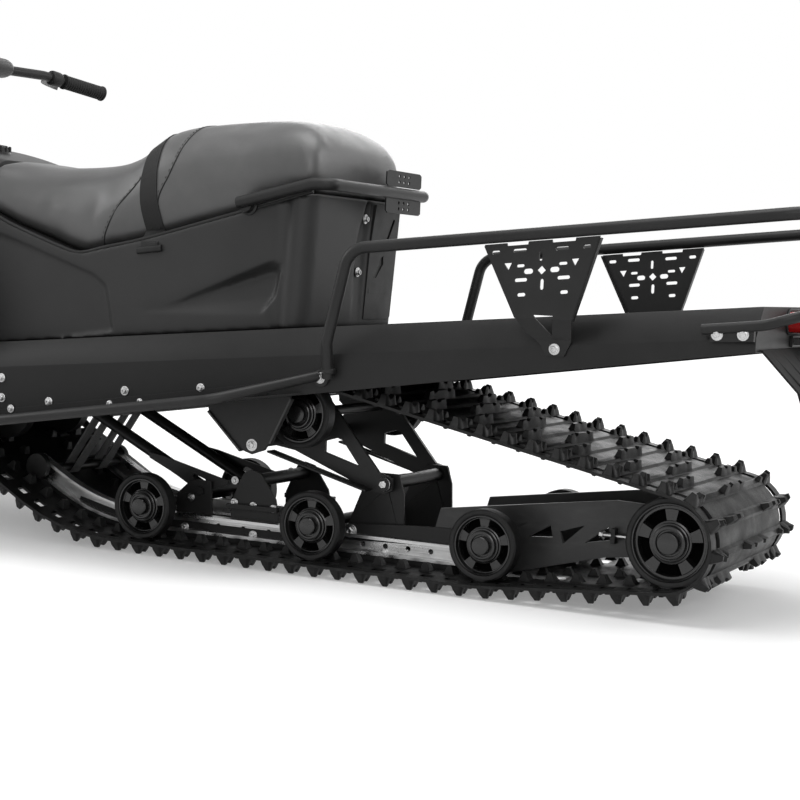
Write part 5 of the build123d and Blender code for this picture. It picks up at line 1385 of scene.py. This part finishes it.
# Side panels and footwells
PANEL_INNER, PANEL_OUTER = 272, 277
PANEL_LINE = [(1500, 256), (1640, 226), (1722, 226), (1722, 690), (1690, 706), (1590, 560), (1524, 420)]
panels, wells = Form(), Form()
panels.prism_pair(PANEL_LINE, PANEL_INNER, PANEL_OUTER)
WELL = [(1660, 206), (1690, 202), (1716, 216), (1768, 300), (1780, 360), (1782, 420)]
WELL_Y = (PANEL_OUTER + 0.5, 345, 424)
for side in BOTH:
    rows = []
    for x, z in WELL:
        rows.append([at(x, side * y, z) for y in WELL_Y] + [at(x - 3.5, side * y, z + 3) for y in reversed(WELL_Y)])
    wells.closed(rows)
    for n in range(5):
        x, z = 1722 + 10 * n, 226 + 16.5 * n
        wells.sweep([at(x - 5, side * y, z + 4) for y in (290, 350, 412)], disc(2.5, 8))
panels.build("side_panel_skins", "body_plastic", bevel=1.5, replaces=("side_panels",))
wells.build("footwell_skins", "black_aluminium", bevel=0.6)
panel_marks = Form()
RIB_LINE = [(1560, 300), (1560, 420), (1640, 560), (1700, 640), (1700, 300), (1580, 300)]
for side in BOTH:
    rib = [at(x, side * (PANEL_OUTER + 0.6), z) for x, z in RIB_LINE]
    panel_marks.sweep(rounded(rib, 30), disc(2.4, 8), LEFT)
panel_marks.build("side_panel_ribs", "body_plastic", angle=60)

# Fuel cap, handlebar controls and gauge
cap = Form()
cap.lathe(at(1690, 0, 814), Vector((-0.12, 0, 1)), [(40, 0), (41, 3), (38, 10), (36, 17), (30, 21), (0.01, 22)], 48)
for x, y in disc(39, 16):
    cap.sweep([at(1690 + x, y, z) for z in (818, 824, 830)], disc(2.6, 8), FORWARD)
cap.build("fuel_cap", "slider_plastic", bevel=0.6)
BAR_AT = (1729.1, 1010.5)
BODY = "handlebar_group"
pad, controls, levers, ribs = Form(), Form(), Form(), Form()
oval = [(30 * math.cos(t), 22 * math.sin(t)) for t in turns(20)]
rows = []
for y, grow in ((-84, 0.6), (-80, 0.86), (-70, 1.0), (0, 1.08), (70, 1.0), (80, 0.86), (84, 0.6)):
    rows.append([at(BAR_AT[0] + u * grow - 2, y, BAR_AT[1] + v * grow + 2) for u, v in oval])
pad.closed(rows)
pad.build("handlebar_pad", "body_plastic", body=BODY)
for side in BOTH:
    tip, bend = at(1667, side * 360, 988.5), at(1703, side * 190, 1010.5)
    axis = (tip - bend).normalized()
    profile = [(12, -2), (18, -1), (18, 2)]
    for n in range(16):
        profile += [(15.4, 4 + 7 * n), (16.6, 5 + 7 * n), (16.6, 9 + 7 * n), (15.4, 10 + 7 * n)]
    profile += [(18, 117), (18, 120), (12, 121)]
    ribs.lathe(tip + axis * 4 * MM, -axis, profile, 32)
    block = bend + axis * 18 * MM
    controls.lathe(block, axis, [(12, 0), (17, 1.5), (18, 6), (18, 24), (17, 28.5), (12, 30)], 28)
    controls.block(1700, 1726, *sorted((side * 214, side * 240)), 1004, 1020)
    lever_line = [(14, (16, 0, 0)), (20, (42, side * 4, -4)), (60, (50, 0, -6)),
                  (125 if side == 1 else 70, (44, 0, -8))]
    reach = [block + (axis * along + Vector(off)) * MM for along, off in lever_line]
    levers.sweep(through(reach, 5), [(-6, -2), (6, -2), (6, 2), (-6, 2)])
ribs.build("ribbed_grips", "grip_rubber", body=BODY, replaces=("grips",), angle=25)
controls.build("handlebar_switches", "slider_plastic", body=BODY, bevel=1.2)
levers.build("handlebar_levers", "cast_metal", body=BODY, bevel=0.8)
pod, dial = Form(), Form()
POD_AT = at(1925, 0, 806)
pod_axis = Vector((-0.62, 0, 0.78)).normalized()
pod.lathe(POD_AT, pod_axis, [(62, -14), (60, 8), (54, 26), (50, 30), (46, 30), (44, 25), (0.01, 25)], 48)
pod.build("gauge_pod", "body_plastic", bevel=1.0)
dial.lathe(POD_AT + pod_axis * 26 * MM, pod_axis, [(43.5, 0), (43.5, 1), (0.01, 1.6)], 40)
dial.build("gauge_glass", "slider_plastic")

# Skis, tail lamp, flap ribs
SKI_MIDDLE = 450
for side, label in SIDES:
    body = f"ski_{label}_group"
    softened(f"ski_{label}", "ski_plastic", 2.0, body)
    softened(f"ski_fittings_{label}", "black_steel", 0.8, body)
    softened(f"spindle_{label}", "black_steel", 1.0, body)
    runner = Form()
    runner.sweep([at(x, side * SKI_MIDDLE, 1.6) for x in (1850, 1862, 2100, 2400, 2428)], disc(3.2, 10))
    runner.build(f"ski_runner_{label}", "zinc_steel", body=body)
    ski_bolts = Form()
    for turn in BOTH:
        bolt(ski_bolts, at(2190, side * SKI_MIDDLE + turn * 36, 100), LEFT * turn, 8, 7, washer=11)
    for x in (2142, 2238):
        for y in (-17, 17):
            bolt(ski_bolts, at(x, side * SKI_MIDDLE + y, 42), UP, 4.5, 4, washer=7)
    ski_bolts.build(f"ski_bolts_{label}", "zinc_steel", body=body)
softened("front_suspension", "black_steel", 0.8)
softened("front_bumper", "black_steel", 0.5)
softened("tail_lamp", "lamp_red", 3.0)
lamp_parts, flap_ribs = Form(), Form()
lamp_parts.sweep([at(-148.5, y, z) for y, z in slot_ring(0, 526, 156, 42, 0, 8)], disc(2.6, 8), FORWARD, closed=True)
for n in range(9):
    lamp_parts.block(-178, -150, -56 + 14 * n - 0.6, -56 + 14 * n + 0.6, 510, 542)
lamp_parts.build("tail_lamp_frame", "slider_plastic")
for y in (-205, -140, -70, 0, 70, 140, 205):
    flap_ribs.sweep([at(x, y, z) for x, z in ((-153, 474), (-219.5, 412), (-251.5, 320), (-257, 244))], disc(3.4, 8))
flap_ribs.sweep([at(-256.5, y, 239) for y in (-243, -120, 0, 120, 243)], disc(3.4, 8))
flap_ribs.build("snow_flap_ribs", "flap_rubber")

# Floor, lamps and camera

# The floor's glow rises from the first value to the second between these distances, in metres
FLOOR_GLOW, FLOOR_REACH = (0.25, 0.85), (1.4, 5.5)
FLOOR_HALF = 60


def seen_directly(tree):
    """One where a ray comes from the camera, a mirror-like surface or through glass."""
    path, first, second = add(tree, "LightPath"), add(tree, "Math", "MAXIMUM"), add(tree, "Math", "MAXIMUM")
    wire(tree, (path, "Is Camera Ray", first, 0), (path, "Is Glossy Ray", first, 1), (first, "Value", second, 0),
         (path, "Is Transmission Ray", second, 1))
    return second


tree, shader = new_material("studio_floor", Base_Color=grey(0.8), Roughness=0.95, Specular_IOR_Level=0.0,
                            Emission_Color=grey(1.0))
place, distance = add(tree, "TexCoord"), add(tree, "VectorMath", "LENGTH")
outward = add(tree, "MapRange", From_Min=FLOOR_REACH[0], From_Max=FLOOR_REACH[1], To_Min=FLOOR_GLOW[0],
              To_Max=FLOOR_GLOW[1])
glow = add(tree, "Math", "MULTIPLY")
wire(tree, (place, "Object", distance, 0), (distance, "Value", outward, "Value"), (outward, "Result", glow, 0),
     (seen_directly(tree), "Value", glow, 1), (glow, "Value", shader, "Emission Strength"))
floor_mesh = bpy.data.meshes.new("floor")
floor_mesh.from_pydata([(-FLOOR_HALF, -FLOOR_HALF, 0), (FLOOR_HALF, -FLOOR_HALF, 0), (FLOOR_HALF, FLOOR_HALF, 0),
                        (-FLOOR_HALF, FLOOR_HALF, 0)], [], [(0, 1, 2, 3)])
floor_mesh.materials.append(FINISH["studio_floor"])
floor = add_object("floor", floor_mesh)

world = bpy.data.worlds.new("studio")
bpy.context.scene.world = world
world.use_nodes = True
background = world.node_tree.nodes["Background"]
background.inputs["Color"].default_value = grey(1.0)
strength = add(world.node_tree, "MapRange", To_Min=0.38, To_Max=1.0)
wire(world.node_tree, (seen_directly(world.node_tree), "Value", strength, "Value"),
     (strength, "Result", background, "Strength"))

# Lamps as (name, place, place they look at, size, watts)
LAMPS = [("lamp_over", (-0.8, 0.5, 4.0), (-0.2, 0, 0.4), (4.0, 2.4), 125),
         ("lamp_side", (-2.4, 4.4, 2.2), (-0.2, 0, 0.4), (3.0, 1.6), 50),
         ("lamp_back", (-4.2, -2.2, 2.4), (-0.8, 0, 0.4), (2.0, 1.6), 45),
         ("lamp_front", (4.4, 1.4, 2.6), (0.8, 0, 0.5), (2.4, 1.6), 60),
         ("lamp_far", (1.0, -4.4, 2.4), (0.2, 0, 0.4), (3.0, 1.6), 45)]
for name, place, aim, size, power in LAMPS:
    light = bpy.data.lights.new(name, "AREA")
    light.shape = "RECTANGLE"
    light.size, light.size_y = size
    light.energy = power
    lamp = add_object(name, light)
    lamp.location = place
    lamp.rotation_euler = (Vector(aim) - Vector(place)).to_track_quat("-Z", "Y").to_euler()

EYE = at(-903.5, 3067.5, 575)
YAW, PITCH_DOWN, ROLL = -1.105, 0.0709, 0.0428
SENSOR, LENS_PER_WIDTH = 36, 1724.5 / 800
ahead = Vector((math.cos(PITCH_DOWN) * math.cos(YAW), math.cos(PITCH_DOWN) * math.sin(YAW), -math.sin(PITCH_DOWN)))
right = ahead.cross(UP).normalized()
up = right.cross(ahead)
right, up = (right * math.cos(ROLL) + up * math.sin(ROLL)), (up * math.cos(ROLL) - right * math.sin(ROLL))
camera_data = bpy.data.cameras.new("camera")
camera_data.sensor_width = SENSOR
camera_data.lens = SENSOR * LENS_PER_WIDTH
camera = add_object("camera", camera_data)
camera.matrix_world = placing(right, up, -ahead, EYE)
bpy.context.scene.camera = camera
bpy.context.scene.view_settings.view_transform = "Standard"

bpy.context.view_layer.update()
